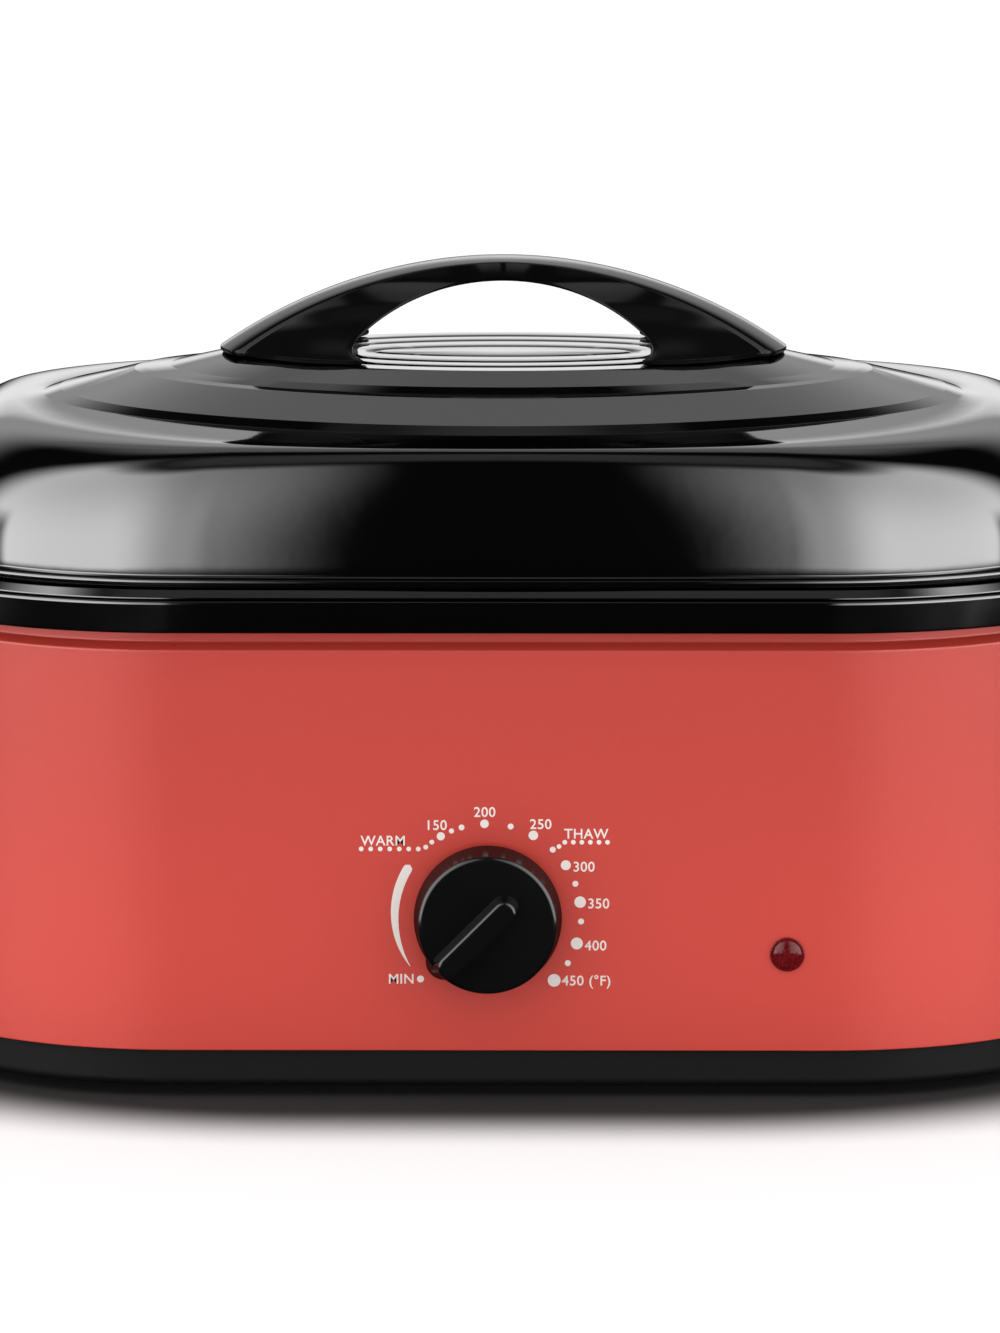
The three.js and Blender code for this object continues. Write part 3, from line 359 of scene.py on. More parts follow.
def tube(path, radius, up=(0, 0, 1), closed=False, facets=14):
    """Round wire along a path: at each point a circle in the plane across the path, spanned by
    tangent x up and its own normal. A closed path gives a hoop, and open ends are rounded off."""
    path = np.array(path, float)
    size = np.full(len(path), radius)
    tangent = np.roll(path, -1, 0) - np.roll(path, 1, 0) if closed else np.gradient(path, axis=0)
    tangent /= np.linalg.norm(tangent, axis=1)[:, None]
    if not closed:
        tips = radius * np.array([0.0, 0.15, 0.5, 1.0])
        shrink = radius * np.sqrt(1 - (1 - tips / radius) ** 2 * 0.75)
        head = path[0] + tips[:, None] * tangent[0]
        tail = path[-1] - tips[::-1, None] * tangent[-1]
        path = np.concatenate([head, path[1:-1], tail])
        first, last = (np.tile(way, (4, 1)) for way in tangent[[0, -1]])
        tangent = np.concatenate([first, tangent[1:-1], last])
        size = np.concatenate([shrink, size[1:-1], shrink[::-1]])
    across = np.cross(tangent, up)
    across /= np.linalg.norm(across, axis=1)[:, None]
    normal = np.cross(across, tangent)
    around = TURN * np.arange(facets) / facets
    circle = np.cos(around)[:, None] * across[:, None] + np.sin(around)[:, None] * normal[:, None]
    return skin(path[:, None] + size[:, None, None] * circle, closed, (not closed, not closed))


def facing(shell, origin, right, up):
    """The shell with its X, Y and Z turned to right, up and the way out, right x up."""
    points, faces = shell
    axes = np.array([right, up, np.cross(right, up)], float)
    return points @ axes + origin, faces


def moved(shell, place):
    return shell[0] + place, shell[1]


def piece(name, shells, slot, body, node=None, sharp=35):
    """A piece of the object from its shells, smooth but for edges sharper than an angle in degrees.
    It has the slot's finish, and stands for the node where one is named."""
    points, faces, count = [], [], 0
    for shell_points, shell_faces in shells:
        points.append(shell_points)
        faces += [[corner + count for corner in face] for face in shell_faces]
        count += len(shell_points)
    mesh = bpy.data.meshes.new(name)
    mesh.from_pydata(np.concatenate(points), [], faces)
    if mesh.validate():
        raise RuntimeError(f"{name} has faces that are no use")
    mesh.shade_smooth()
    mesh.set_sharp_from_angle(angle=math.radians(sharp))
    mesh.materials.append(finish_of(slot))
    made = bpy.data.objects.new(name, mesh)
    bpy.context.scene.collection.objects.link(made)
    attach(made, body)
    if node:
        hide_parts(node)
    return made


# Finishes

CALM = 0.88  # share of a mirror that is lost where black gloss is seen edge on


class Value:
    """A number in a shader. Python's operators on it add Math nodes."""

    def __init__(self, shader, socket):
        self.shader, self.socket = shader, socket

    def __add__(self, other):
        return self.shader.math("ADD", self, other)

    def __sub__(self, other):
        return self.shader.math("SUBTRACT", self, other)

    def __rsub__(self, other):
        return self.shader.math("SUBTRACT", other, self)

    def __mul__(self, other):
        return self.shader.math("MULTIPLY", self, other)

    def __pow__(self, other):
        return self.shader.math("POWER", self, other)

    def __abs__(self):
        return self.shader.math("ABSOLUTE", self)

    __radd__ = __add__
    __rmul__ = __mul__


class Shader:
    """The node tree of a material or of the world."""

    def __init__(self, owner):
        self.owner = owner
        owner.use_nodes = True
        self.tree = owner.node_tree
        self.tree.nodes.clear()

    def node(self, kind, settings=None, inputs=None, out=0):
        """A node of that type, with its settings, then its sockets' values or links."""
        made = self.tree.nodes.new(kind)
        for key, value in (settings or {}).items():
            if key == "stops":
                ramp = made.color_ramp.elements
                while len(ramp) < len(value):
                    ramp.new(1)
                for stop, (place, shade) in zip(ramp, value):
                    stop.position, stop.color = place, (*shade, 1)
            else:
                setattr(made, key, value)
        for key, value in (inputs or {}).items():
            named = {socket.identifier: socket for socket in made.inputs}
            socket = named[key] if key in named else made.inputs[key]
            if isinstance(value, Value):
                self.tree.links.new(value.socket, socket)
            elif socket.type == "RGBA":
                socket.default_value = (*value, 1)
            else:
                socket.default_value = value
        named = {socket.identifier: socket for socket in made.outputs}
        if named:
            return Value(self, named[out] if out in named else made.outputs[out])

    def math(self, operation, *values):
        return self.node("ShaderNodeMath", {"operation": operation}, dict(enumerate(values)))

    def place(self):
        """Object coordinates: metres in the row frame."""
        return self.node("ShaderNodeTexCoord", out="Object")

    def axes(self, vector):
        return [self.node("ShaderNodeSeparateXYZ", None, {"Vector": vector}, axis) for axis in "XYZ"]

    def height(self):
        return self.axes(self.place())[2]

    def stretched(self, scale, turn=(0, 0, 0)):
        inputs = {"Vector": self.place(), "Scale": scale, "Rotation": turn}
        return self.node("ShaderNodeMapping", None, inputs)

    def noise(self, scale, detail=2.0, vector=None, distortion=0.0):
        inputs = {
            "Vector": vector or self.place(),
            "Scale": scale,
            "Detail": detail,
            "Distortion": distortion,
        }
        return self.node("ShaderNodeTexNoise", None, inputs)

    def cells(self, scale, out="Distance", vector=None):
        inputs = {"Vector": vector or self.place(), "Scale": scale}
        return self.node("ShaderNodeTexVoronoi", None, inputs, out)

    def smooth(self, value, low, high):
        """0 below low and 1 above high, with a smooth step between."""
        settings = {"interpolation_type": "SMOOTHSTEP"}
        inputs = {"Value": value, "From Min": low, "From Max": high}
        return self.node("ShaderNodeMapRange", settings, inputs)

    def mix(self, factor, first, second):
        inputs = {"Factor_Float": factor, "A_Color": first, "B_Color": second}
        return self.node("ShaderNodeMix", {"data_type": "RGBA"}, inputs, "Result_Color")

    def bump(self, height, distance, normal=None):
        inputs = {"Height": height, "Distance": distance, "Strength": 1.0}
        if normal:
            inputs["Normal"] = normal
        return self.node("ShaderNodeBump", None, inputs)

    def surface(self, calm=0.0, **inputs):
        """The finished material. calm is the share of its mirror that is lost where it is seen edge
        on, so that a flat top doesn't turn white."""
        named = {key.replace("_", " ").title().replace("Ior", "IOR"): v for key, v in inputs.items()}
        shader = self.node("ShaderNodeBsdfPrincipled", None, named)
        if calm:
            edge_on = self.node("ShaderNodeLayerWeight", None, {"Blend": 0.5}, "Facing")
            named |= {"Roughness": 0.6, "Specular IOR Level": 0.0}
            dull = self.node("ShaderNodeBsdfPrincipled", None, named)
            layers = {0: calm * self.smooth(edge_on, 0.25, 1), 1: shader, 2: dull}
            shader = self.node("ShaderNodeMixShader", None, layers)
        self.node("ShaderNodeOutputMaterial", None, {"Surface": shader})
        return self.owner


def finish(name):
    """The shader of a new material, which takes the place of the frame's plain one."""
    plain = bpy.data.materials.get(name)
    if plain:
        bpy.data.materials.remove(plain)
    return Shader(bpy.data.materials.new(name))


def shade(base, factor):
    return tuple(min(1.0, channel * factor) for channel in base)


def red_paint(base):
    """Baked gloss paint on sheet steel, with painted shade: lighter at the foot and deeper towards
    the rim, with a faint cloud in the colour and orange peel under a clear top."""
    s = finish("red_paint")
    cloud = s.noise(7, 3)
    peel = s.noise(420, 2)
    fine = s.noise(2600, 2)
    # painted shade: from the table to 130 mm up the colour goes from 1.14 times the paint to 0.84
    # times it, for how the light falls on the wall
    height = s.smooth(s.height(), 0.0, 0.13)
    return s.surface(
        base_color=s.mix(height + 0.12 * cloud, shade(base, 1.14), shade(base, 0.84)),
        roughness=0.33 + 0.08 * fine,
        normal=s.bump(fine, 0.000004, s.bump(peel, 0.00003)),
        coat_weight=0.12,
        coat_roughness=0.12,
        specular_ior_level=0.38,
    )


def gloss_enamel(name, base, speckle=0.0):
    """Porcelain enamel fired on steel: a deep gloss with long slow waves, faint handling marks and,
    where speckle is over 0, pin-sized pale flecks below the rim."""
    s = finish(name)
    waves = s.noise(95, 2)
    marks = s.noise(14, 4, distortion=0.6)
    dots = 1 - s.smooth(s.cells(520), 0.16, 0.24)
    spread = s.smooth(s.noise(60, 3), 0.5, 0.62) * (1 - s.smooth(s.height(), 0.12, 0.135))
    return s.surface(
        base_color=s.mix(dots * spread * speckle, base, (0.42, 0.42, 0.43)),
        roughness=0.035 + 0.05 * s.smooth(marks, 0.45, 0.8),
        normal=s.bump(waves, 0.000008),
        specular_ior_level=1.0,
        calm=CALM,
    )


def moulded_plastic(name, base, rough, shine):
    """Black moulding: a fine grain, and slow waves where it shrank in the mould."""
    s = finish(name)
    fine = s.noise(3200, 3)
    sink = s.noise(60, 2)
    return s.surface(
        base_color=s.mix(s.noise(24, 3), shade(base, 0.8), shade(base, 1.3)),
        roughness=rough + 0.06 * s.noise(35, 4),
        normal=s.bump(fine, 0.0000015, s.bump(sink, 0.00003)),
        specular_ior_level=shine,
        calm=CALM,
    )


def satin_black(base):
    """Textured black paint on the base tray."""
    s = finish("satin_black")
    grit = s.noise(1500, 4)
    return s.surface(
        base_color=s.mix(grit, shade(base, 0.7), shade(base, 1.4)),
        roughness=0.45 + 0.2 * s.noise(300, 2),
        normal=s.bump(grit, 0.00003),
        specular_ior_level=0.08,
    )


def rubber():
    """Moulded rubber with dust in its grain."""
    s = finish("foot_rubber")
    grain = s.noise(1800, 4)
    return s.surface(
        base_color=s.mix(s.noise(90, 4), (0.012, 0.012, 0.012), (0.035, 0.034, 0.033)),
        roughness=0.7 + 0.2 * grain,
        normal=s.bump(grain, 0.00004),
    )


def plated_steel(name, base, polish=0.16):
    """Bright plating, with draw lines along the wire or round the head."""
    s = finish(name)
    lines = s.noise(400, 2, s.stretched((8, 8, 0.6)))
    tarnish = s.smooth(s.noise(55, 4), 0.45, 0.75)
    return s.surface(
        base_color=s.mix(tarnish, base, shade(base, 0.8)),
        metallic=1.0,
        roughness=polish + 0.14 * lines,
        normal=s.bump(lines, 0.00001),
    )


def aluminised_sheet():
    """Hot-dipped sheet: crystal spangle in patches, rolled one way, with heat bloom."""
    s = finish("aluminised_sheet")
    spangle = s.node(
        "ShaderNodeSeparateColor", None, {"Color": s.cells(150, "Color")}, "Red"
    )
    rolled = s.noise(600, 2, s.stretched((0.04, 1, 1)))
    bloom = s.smooth(s.noise(11, 3), 0.5, 0.8)
    tone = s.mix(spangle, (0.46, 0.47, 0.48), (0.62, 0.63, 0.64))
    return s.surface(
        base_color=s.mix(bloom * 0.4, tone, (0.5, 0.44, 0.34)),
        metallic=0.92,
        roughness=0.28 + 0.12 * spangle + 0.1 * rolled,
        normal=s.bump(rolled, 0.00001),
    )


def heater_tape():
    """Mica and wire tape with the element's wires showing as ribs across it."""
    s = finish("heater_tape")
    wires = s.node(
        "ShaderNodeTexWave",
        {"wave_type": "BANDS", "bands_direction": "Z"},
        {"Vector": s.place(), "Scale": 90, "Distortion": 1.2, "Detail": 2},
    )
    return s.surface(
        base_color=s.mix(wires, (0.2, 0.15, 0.09), (0.42, 0.36, 0.27)),
        metallic=0.3 * wires,
        roughness=0.55 + 0.2 * s.noise(300, 3),
        normal=s.bump(wires, 0.0002),
    )


def glass_fibre():
    """Needled glass fibre blanket: long matted strands with loose tufts."""
    s = finish("glass_fibre")
    strands = s.noise(260, 5, s.stretched((0.25, 0.25, 3)), 1.5)
    tufts = s.noise(60, 4)
    return s.surface(
        base_color=s.mix(strands, (0.55, 0.5, 0.36), (0.86, 0.82, 0.68)),
        roughness=0.95,
        normal=s.bump(strands, 0.0006, s.bump(tufts, 0.002)),
    )


def phenolic():
    """Brown phenolic moulding with paper flecks."""
    s = finish("phenolic")
    flecks = s.smooth(s.noise(900, 4), 0.45, 0.7)
    return s.surface(
        base_color=s.mix(flecks, (0.05, 0.022, 0.01), (0.12, 0.055, 0.025)),
        roughness=0.42 + 0.1 * flecks,
        normal=s.bump(flecks, 0.00001),
    )


def red_lens(base):
    """Dark red lens with prisms moulded inside, which show as a fine waffle."""
    s = finish("red_lens")
    prisms = s.cells(1400)
    return s.surface(
        base_color=s.mix(prisms, shade(base, 1.5), shade(base, 0.5)),
        roughness=0.06 + 0.05 * s.noise(300, 2),
        normal=s.bump(prisms, 0.00002),
        specular_ior_level=0.15,
        coat_weight=0.1,
        coat_roughness=0.02,
    )


def ceramic():
    """Cast insulator, off-white with a grey bloom."""
    s = finish("insulator")
    bloom = s.noise(120, 4)
    return s.surface(
        base_color=s.mix(bloom, (0.5, 0.47, 0.4), (0.7, 0.67, 0.6)),
        roughness=0.45 + 0.2 * bloom,
        normal=s.bump(s.noise(900, 3), 0.00003),
    )


def lead_sleeve():
    """Braided glass sleeve: two sets of strands that cross."""
    s = finish("lead_sleeve")
    braid = [
        s.node(
            "ShaderNodeTexWave",
            {"wave_type": "BANDS", "bands_direction": "DIAGONAL"},
            {"Vector": s.stretched((sign, 1, 1)), "Scale": 420},
        )
        for sign in (1, -1)
    ]
    weave = braid[0] * braid[1]
    return s.surface(
        base_color=s.mix(weave, (0.3, 0.28, 0.24), (0.62, 0.59, 0.52)),
        roughness=0.8,
        normal=s.bump(weave, 0.0002),
    )


def print_ink(base):
    """Screen print: an even film with a slightly rough edge to its gloss."""
    s = finish("print_ink")
    film = s.noise(900, 3)
    return s.surface(
        base_color=s.mix(film, shade(base, 0.95), shade(base, 1.03)),
        roughness=0.42 + 0.1 * film,
        normal=s.bump(film, 0.000003),
    )


def studio_floor(base, near, far):
    """Seamless paper with a painted contact shadow: its colour and its glow are darkened where it
    lies close to the base. The distance from the base's plan is that of a rounded rectangle, the
    length of max(|place| - half + corner, 0), less the corner."""
    s = finish("studio_paper")
    tooth = s.noise(500, 2)
    # plan corner of the painted shadow, rounder than the base's, so that the shadow is narrower at
    # the corners
    corner = 0.11
    x, y = (
        s.math("MAXIMUM", abs(along - middle) - (half - corner), 0)
        for along, middle, half in zip(s.axes(s.place())[:2], MIDDLE, TRAY.half)
    )
    away = (x * x + y * y) ** 0.5 - corner
    # painted shadow: 0 within near of the base's plan, rising to 1 at far, where the paper has its
    # full colour and glow
    clear_of_painted_shadow = s.smooth(away, near, far)
    half = shade(base, 0.5)
    # painted shadow: colour and glow both fall to near black towards the base
    return s.surface(
        base_color=s.mix(clear_of_painted_shadow, shade(base, 0.04), s.mix(tooth, shade(half, 0.995), half)),
        emission_color=s.mix(clear_of_painted_shadow, shade(base, 0.004), shade(half, 1.2)),
        emission_strength=1.0,
        roughness=0.9,
        specular_ior_level=0.0,
    )


def finish_of(slot):
    return bpy.data.materials["satin_black" if slot == "base_black" else slot]


# Operators


class RoasterOperator:
    """What every operator of the roaster shares."""

    bl_options = {"REGISTER", "UNDO"}


class ROASTER_OT_finishes(RoasterOperator, bpy.types.Operator):
    """Make the finishes, and give the frame's own nodes theirs"""

    bl_idname = "roaster.finishes"
    bl_label = "Finishes"

    def execute(self, context):
        tones = context.scene.roaster_finish
        red_paint(tones.paint)
        gloss_enamel("lid_enamel", tones.enamel)
        gloss_enamel("rim_enamel", tones.enamel)
        gloss_enamel("cookwell_enamel", tones.enamel, speckle=0.7)
        moulded_plastic("black_plastic", tones.plastic, 0.08, 0.1)
        moulded_plastic("knob_plastic", tones.plastic, 0.1, 0.36)
        satin_black(tones.satin)
        rubber()
        plated_steel("plated_steel", tones.steel)
        plated_steel("rack_wire", shade(tones.steel, 1.1), 0.1)
        aluminised_sheet()
        heater_tape()
        glass_fibre()
        phenolic()
        red_lens(tones.lens)
        ceramic()
        lead_sleeve()
        print_ink(tones.print_ink)
        for part in frame["record"]["subparts"]:
            materials = frame["nodes"][part["node"]].data.materials
            materials.clear()
            materials.append(finish_of(part["material_slot"]))
        return {"FINISHED"}


class ROASTER_OT_housing(RoasterOperator, bpy.types.Operator):
    """Build the painted wall, the base tray and the four feet"""

    bl_idname = "roaster.housing"
    bl_label = "Housing"

    def execute(self, context):
        sizes = context.scene.roaster_housing
        plan = (*WALL.half[:2], sizes.corner)
        self.wall(sizes, plan)
        self.tray(sizes, plan)
        self.feet()
        return {"FINISHED"}

    def wall(self, sizes, plan):
        """A hoop of sheet: up the outside, over the shoulder and neck to the flange, and down the
        inside."""
        foot, top = WALL.low[2] - sizes.skirt_drop, WALL.high[2]
        neck = top - sizes.neck_height
        shoulder = neck - sizes.neck_inset
        inset, sheet, soft = sizes.neck_inset, sizes.sheet, sizes.shoulder_round
        stations = [
            offset(plan, 0, foot),
            offset(plan, 0, shoulder),
            offset(plan, -inset, neck),
            offset(plan, -inset, top),
            offset(plan, -sizes.flange, top),
            offset(plan, -sizes.flange, top - sheet),
            offset(plan, -inset - sheet, top - sheet),
            offset(plan, -inset - sheet, neck),
            offset(plan, -sheet, shoulder),
            offset(plan, -sheet, foot),
        ]
        radii = [0.3 * MM, soft, soft, soft, 0, 0, 0, soft, soft, 0.3 * MM]
        grid = ROUND.loft(rounded(stations, radii, closed=True))
        shell = moved(hoop(grid), MIDDLE)
        wall = piece("red_wall", [shell], "red_paint", "housing", "housing_wall")
        bore, reach = 5.4 * MM, 3 * GLAND.half[1]
        rod = solid(turned([(bore, -reach), (bore, reach)], 32))
        self.drill(wall, facing(rod, GLAND.middle, LEFT, UP))

    def drill(self, body, shell):
        """Cuts the shell out of the body."""
        mesh = bpy.data.meshes.new("drill")
        mesh.from_pydata(shell[0], [], shell[1])
        tool = bpy.data.objects.new("drill", mesh)
        bpy.context.scene.collection.objects.link(tool)
        cut = body.modifiers.new("bore", "BOOLEAN")
        cut.object, cut.operation, cut.solver = tool, "DIFFERENCE", "EXACT"
        evaluated = body.evaluated_get(bpy.context.evaluated_depsgraph_get())
        drilled = bpy.data.meshes.new_from_object(evaluated)
        body.modifiers.clear()
        body.data = drilled
        bpy.data.objects.remove(tool)

    def tray(self, sizes, plan):
        """A floor with a skirt that stands inside the wall, its lower edge rounded."""
        out = TRAY.half[0] - plan[0]
        low, high, sheet = TRAY.low[2], TRAY.high[2], sizes.tray_sheet
        deep = -plan[2] * 0.9
        stations = [
            offset(plan, deep, low),
            offset(plan, out, low),
            offset(plan, out, high),
            offset(plan, out - sheet, high),
            offset(plan, out - sheet, low + sheet),
            offset(plan, deep, low + sheet),
        ]
        radii = [0, sizes.tray_round, 0.4 * MM, 0.4 * MM, sizes.tray_round - sheet, 0]
        shell = moved(solid(ROUND.loft(rounded(stations, radii))), MIDDLE)
        piece("base_pan", [shell], "base_black", "housing", "base_tray")

    def feet(self):
        """Turned rubber feet, each with a dished sole and a rounded edge."""
        for face in FACES:
            for side in SIDES:
                node = f"foot_{face}_{side}"
                foot = Extent(node)
                radius, top = foot.half[0], TRAY.low[2] - 0.3 * MM
                sole = [
                    (0.3 * radius, 0.5 * MM),
                    (0.62 * radius, 0.5 * MM),
                    (0.72 * radius, 0),
                    (radius, 0),
                    (radius, top),
                    (0.4 * radius, top),
                    (0.4 * radius, foot.high[2] - 2 * MM),
                    (0.57 * radius, foot.high[2] - 2 * MM),
                    (0.4 * radius, foot.high[2]),
                ]
                shell = moved(solid(turned(soften(sole, 0.6 * MM), 48)), (*foot.middle[:2], 0))
                piece(f"rubber_{node}", [shell], "foot_rubber", "housing", node)


class ROASTER_OT_rim(RoasterOperator, bpy.types.Operator):
    """Build the enamelled rim and the heating well under it"""

    bl_idname = "roaster.rim"
    bl_label = "Rim and heating well"

    def execute(self, context):
        sizes = context.scene.roaster_housing
        over = RIM.half[0] - WALL.half[0]
        plan = (*WALL.half[:2], sizes.corner)
        well = (sizes.well_width, sizes.well_depth, sizes.well_corner)
        low, high, sheet = RIM.low[2], RIM.high[2], sizes.rim_sheet
        sill = 1 * MM
        stations = [
            offset(plan, over, low),
            offset(plan, over, high),
            offset(well, sill, high),
            offset(well, sill, high - sheet),
            offset(plan, over - sheet, high - sheet),
            offset(plan, over - sheet, low),
        ]
        thin = 0.5 * MM
        radii = [thin, sizes.rim_round, thin, thin, thin, thin]
        shell = moved(hoop(ROUND.loft(rounded(stations, radii, closed=True))), MIDDLE)
        piece("rim_ring", [shell], "rim_enamel", "housing", "rim_trim")
        self.well(sizes, well)
        return {"FINISHED"}

    def well(self, sizes, well):
        """The fixed liner: a tub of thin sheet with a rounded floor and a flange."""
        sheet = 1 * MM
        floor, top = WELL.low[2], WELL.high[2]
        flange = (*WELL.half[:2], sizes.corner - WALL.half[0] + WELL.half[0])
        deep = -well[2] * 0.9
        stations = [
            offset(well, deep, floor),
            offset(well, sheet, floor),
            offset(well, sheet, top - sheet),
            offset(flange, 0, top - sheet),
            offset(flange, 0, top),
            offset(well, 0, top),
            offset(well, 0, floor + sheet),
            offset(well, deep, floor + sheet),
        ]
        soft = sizes.well_round
        radii = [0, soft + sheet, 1 * MM, 0.2 * MM, 0.2 * MM, 2 * MM, soft, 0]
        shell = moved(solid(ROUND.loft(rounded(stations, radii))), MIDDLE)
        piece("well_liner", [shell], "aluminised_sheet", "housing", "heating_well")


class ROASTER_OT_cookwell(RoasterOperator, bpy.types.Operator):
    """Build the enamelled pan that lifts out, and the wire rack in it"""

    bl_idname = "roaster.cookwell"
    bl_label = "Cookwell and rack"

    def execute(self, context):
        scene = context.scene
        sizes, housing = scene.roaster_cookwell, scene.roaster_housing
        slack, sheet, soft = sizes.slack, sizes.sheet, sizes.floor_round
        well = (housing.well_width, housing.well_depth, housing.well_corner)
        inside = tuple(size - slack for size in well)
        floor = tuple(size - sizes.draft for size in inside)
        edge = (*PAN.half[:2], housing.corner - WALL.half[0] + PAN.half[0])
        low, high = PAN.low[2], PAN.high[2]
        seat = RIM.high[2] + 0.3 * MM
        deep = -floor[2] * 0.9
        bead = sizes.bead_width
        stations = [
            offset(floor, deep, low),
            offset(floor, sheet, low),
            offset(inside, sheet, seat),
            offset(edge, 0, seat),
            offset(edge, 0, seat + 0.4 * MM),
            offset(edge, -sizes.bead_slope, high),
            offset(edge, -bead, high),
            offset(edge, -bead - 0.6 * MM, seat + sheet),
            offset(inside, 0, seat + sheet),
            offset(floor, 0, low + sheet),
            offset(floor, deep, low + sheet),
        ]
        fine = 0.4 * MM
        radii = [0, soft + sheet, 1 * MM, 0.2 * MM, fine, fine, fine, 0.6 * MM, 3 * MM, soft, 0]
        shell = moved(solid(ROUND.loft(rounded(stations, radii, steps=8))), MIDDLE)
        piece("pan", [shell], "cookwell_enamel", "cookwell", "cookwell")
        self.rack(sizes, floor)
        return {"FINISHED"}

    def rack(self, sizes, floor):
        """A closed wire loop with nine bars across it and four legs."""
        node = Extent("rack")
        level = node.high[2] - sizes.rack_wire
        foot = node.low[2]
        plan = tuple(size - sizes.rack_inset for size in floor)
        loop = ROUND.loft([offset(plan, 0, level)])[0]
        shells = [tube(loop, sizes.rack_wire, closed=True)]
        bars = 9
        half_x, half_y, corner = plan
        for x in np.linspace(-half_x, half_x, bars + 2)[1:-1]:
            past = max(0, abs(x) - (half_x - corner))
            reach = half_y - corner + math.sqrt(corner**2 - past**2)
            path = [(x, y, level) for y in np.linspace(-reach, reach, 9)]
            shells.append(tube(path, sizes.rack_bar))
        for face in FACES.values():
            for side in SIDES.values():
                x, y = side * sizes.rack_leg_x, face * half_y
                path = [(x, y, z) for z in np.linspace(level, foot, 5)]
                shells.append(tube(path, sizes.rack_leg, up=(1, 0, 0)))
        shells = [moved(shell, MIDDLE) for shell in shells]
        piece("wire_rack", shells, "rack_wire", "rack", "rack")


class ROASTER_OT_lid(RoasterOperator, bpy.types.Operator):
    """Build the domed lid with its steps and rings"""

    bl_idname = "roaster.lid"
    bl_label = "Lid"

    # Edges of the dome from its shoulder to its crown, in millimetres: half width, half depth,
    # height above the lid's seat, how much higher at the front and back, and rounding
    EDGES = (
        (139.5, 119, 39.2, -2, 4),
        (134.5, 101, 39.9, -1.2, 1),
        (129.5, 97.8, 41.5, -0.5, 2),
        (107.5, 72.3, 46.8, -0.85, 4),
        (104.5, 67.9, 47.2, -0.85, 1),
        (97.3, 64.7, 47.9, 0.3, 2),
        (81.5, 52, 51.5, 0, 1),
    )
    # Rings round the crown, as shares of its half width and half depth
    RINGS = ((0.86, 0.8), (0.68, 0.555), (0.47, 0.257))

    def execute(self, context):
        """One skin from the underside of the crown out to the rolled edge and up over the dome. Its
        front and back are drawn in by bow (x / half width)^2 where the plan is square."""
        sizes = context.scene.roaster_lid
        seat = LID.low[2]
        plan = (*LID.half[:2], sizes.corner)
        bead, width, sheet = sizes.bead_height, sizes.bead_width, sizes.sheet
        foot = tuple(size - width for size in plan)
        edge = [
            offset(foot, -sheet, seat),
            offset(plan, 0, seat),
            offset(plan, 0, seat + bead),
            offset(plan, -width + 0.6 * MM, seat + bead),
            offset(foot, 0, seat + bead + 0.6 * MM),
            offset(foot, 0, seat + bead + 1.2 * MM),
        ]
        soft = [0, 0.7 * MM, 0.7 * MM, 0.5 * MM, 0.5 * MM, 0]
        inner = self.dome(sizes, foot, sheet, sheet + sizes.groove_depth)
        outer = self.dome(sizes, foot, 0, 0)
        rolled = rounded(edge, soft)[:-1]
        stations = np.concatenate([inner[::-1], rolled, outer[1:], self.crown(sizes)])
        grid = ROUND.loft(stations)
        half_x, half_y, square = stations[:, [0, 1, 3]].T[:, :, None]
        grid[..., 1] *= 1 - sizes.bow / half_y * square.clip(0) * (grid[..., 0] / half_x) ** 2
        piece("lid_dome", [moved(solid(grid), MIDDLE)], "lid_enamel", "lid", "lid_shell")
        return {"FINISHED"}

    def dome(self, sizes, foot, inset, drop):
        """One face of the dome from its foot to its crown, drawn in and lowered. The shoulder is a
        quarter of a superellipse up to the first edge, cosine ^ full by sine ^ full, and its plan
        turns from the rounded rectangle to an oval as (cosine ^ full) ^ early. Straight slopes join
        the edges above, and the last row lies just inside the crown's edge, to keep it flat."""
        full, early, inside_edge = 0.8, 0.3, 2.5 * MM
        base = LID.low[2] + sizes.bead_height
        oval = -sizes.point
        rows, radii = [], []
        width, depth, height, lift, soft = (value * MM for value in self.EDGES[0])
        rise = LID.low[2] + height - base - drop
        for turn in np.linspace(0, QUARTER, 41):
            near = max(math.cos(turn), 0) ** full
            half = [a * near + b * (1 - near) - inset for a, b in zip(foot, (width, depth))]
            level = base + rise * math.sin(turn) ** full
            square = near**early + oval * (1 - near**early)
            rows.append(station(*half, foot[2] - inset, level, square, lift=lift * (1 - near)))
            radii.append(0)
        for width, depth, height, lift, soft in self.EDGES[1:]:
            level = LID.low[2] + height * MM - drop
            half = [width * MM - inset, depth * MM - inset]
            rows.append(station(*half, foot[2] - inset, level, oval, lift=lift * MM))
            radii.append(soft * MM)
        flat = rows[-1].copy()
        flat[:2] -= inside_edge
        return rounded([*rows, flat], [*radii, 0])

    def crown(self, sizes):
        """The flat crown: rings of a raised cosine's shape, let into it."""
        level = LID.high[2]
        half = sizes.groove_width / 2
        width, depth = (value * MM for value in self.EDGES[-1][:2])
        rows = []
        for share_x, share_y in self.RINGS:
            x, y = share_x * width, share_y * depth
            for place in np.linspace(-1, 1, 15):
                dip = sizes.groove_depth * (0.5 + 0.5 * math.cos(math.pi * place))
                out = -place * half
                rows.append(station(x + out, y + out, 0, level - dip, -sizes.point))
        return np.array(rows)


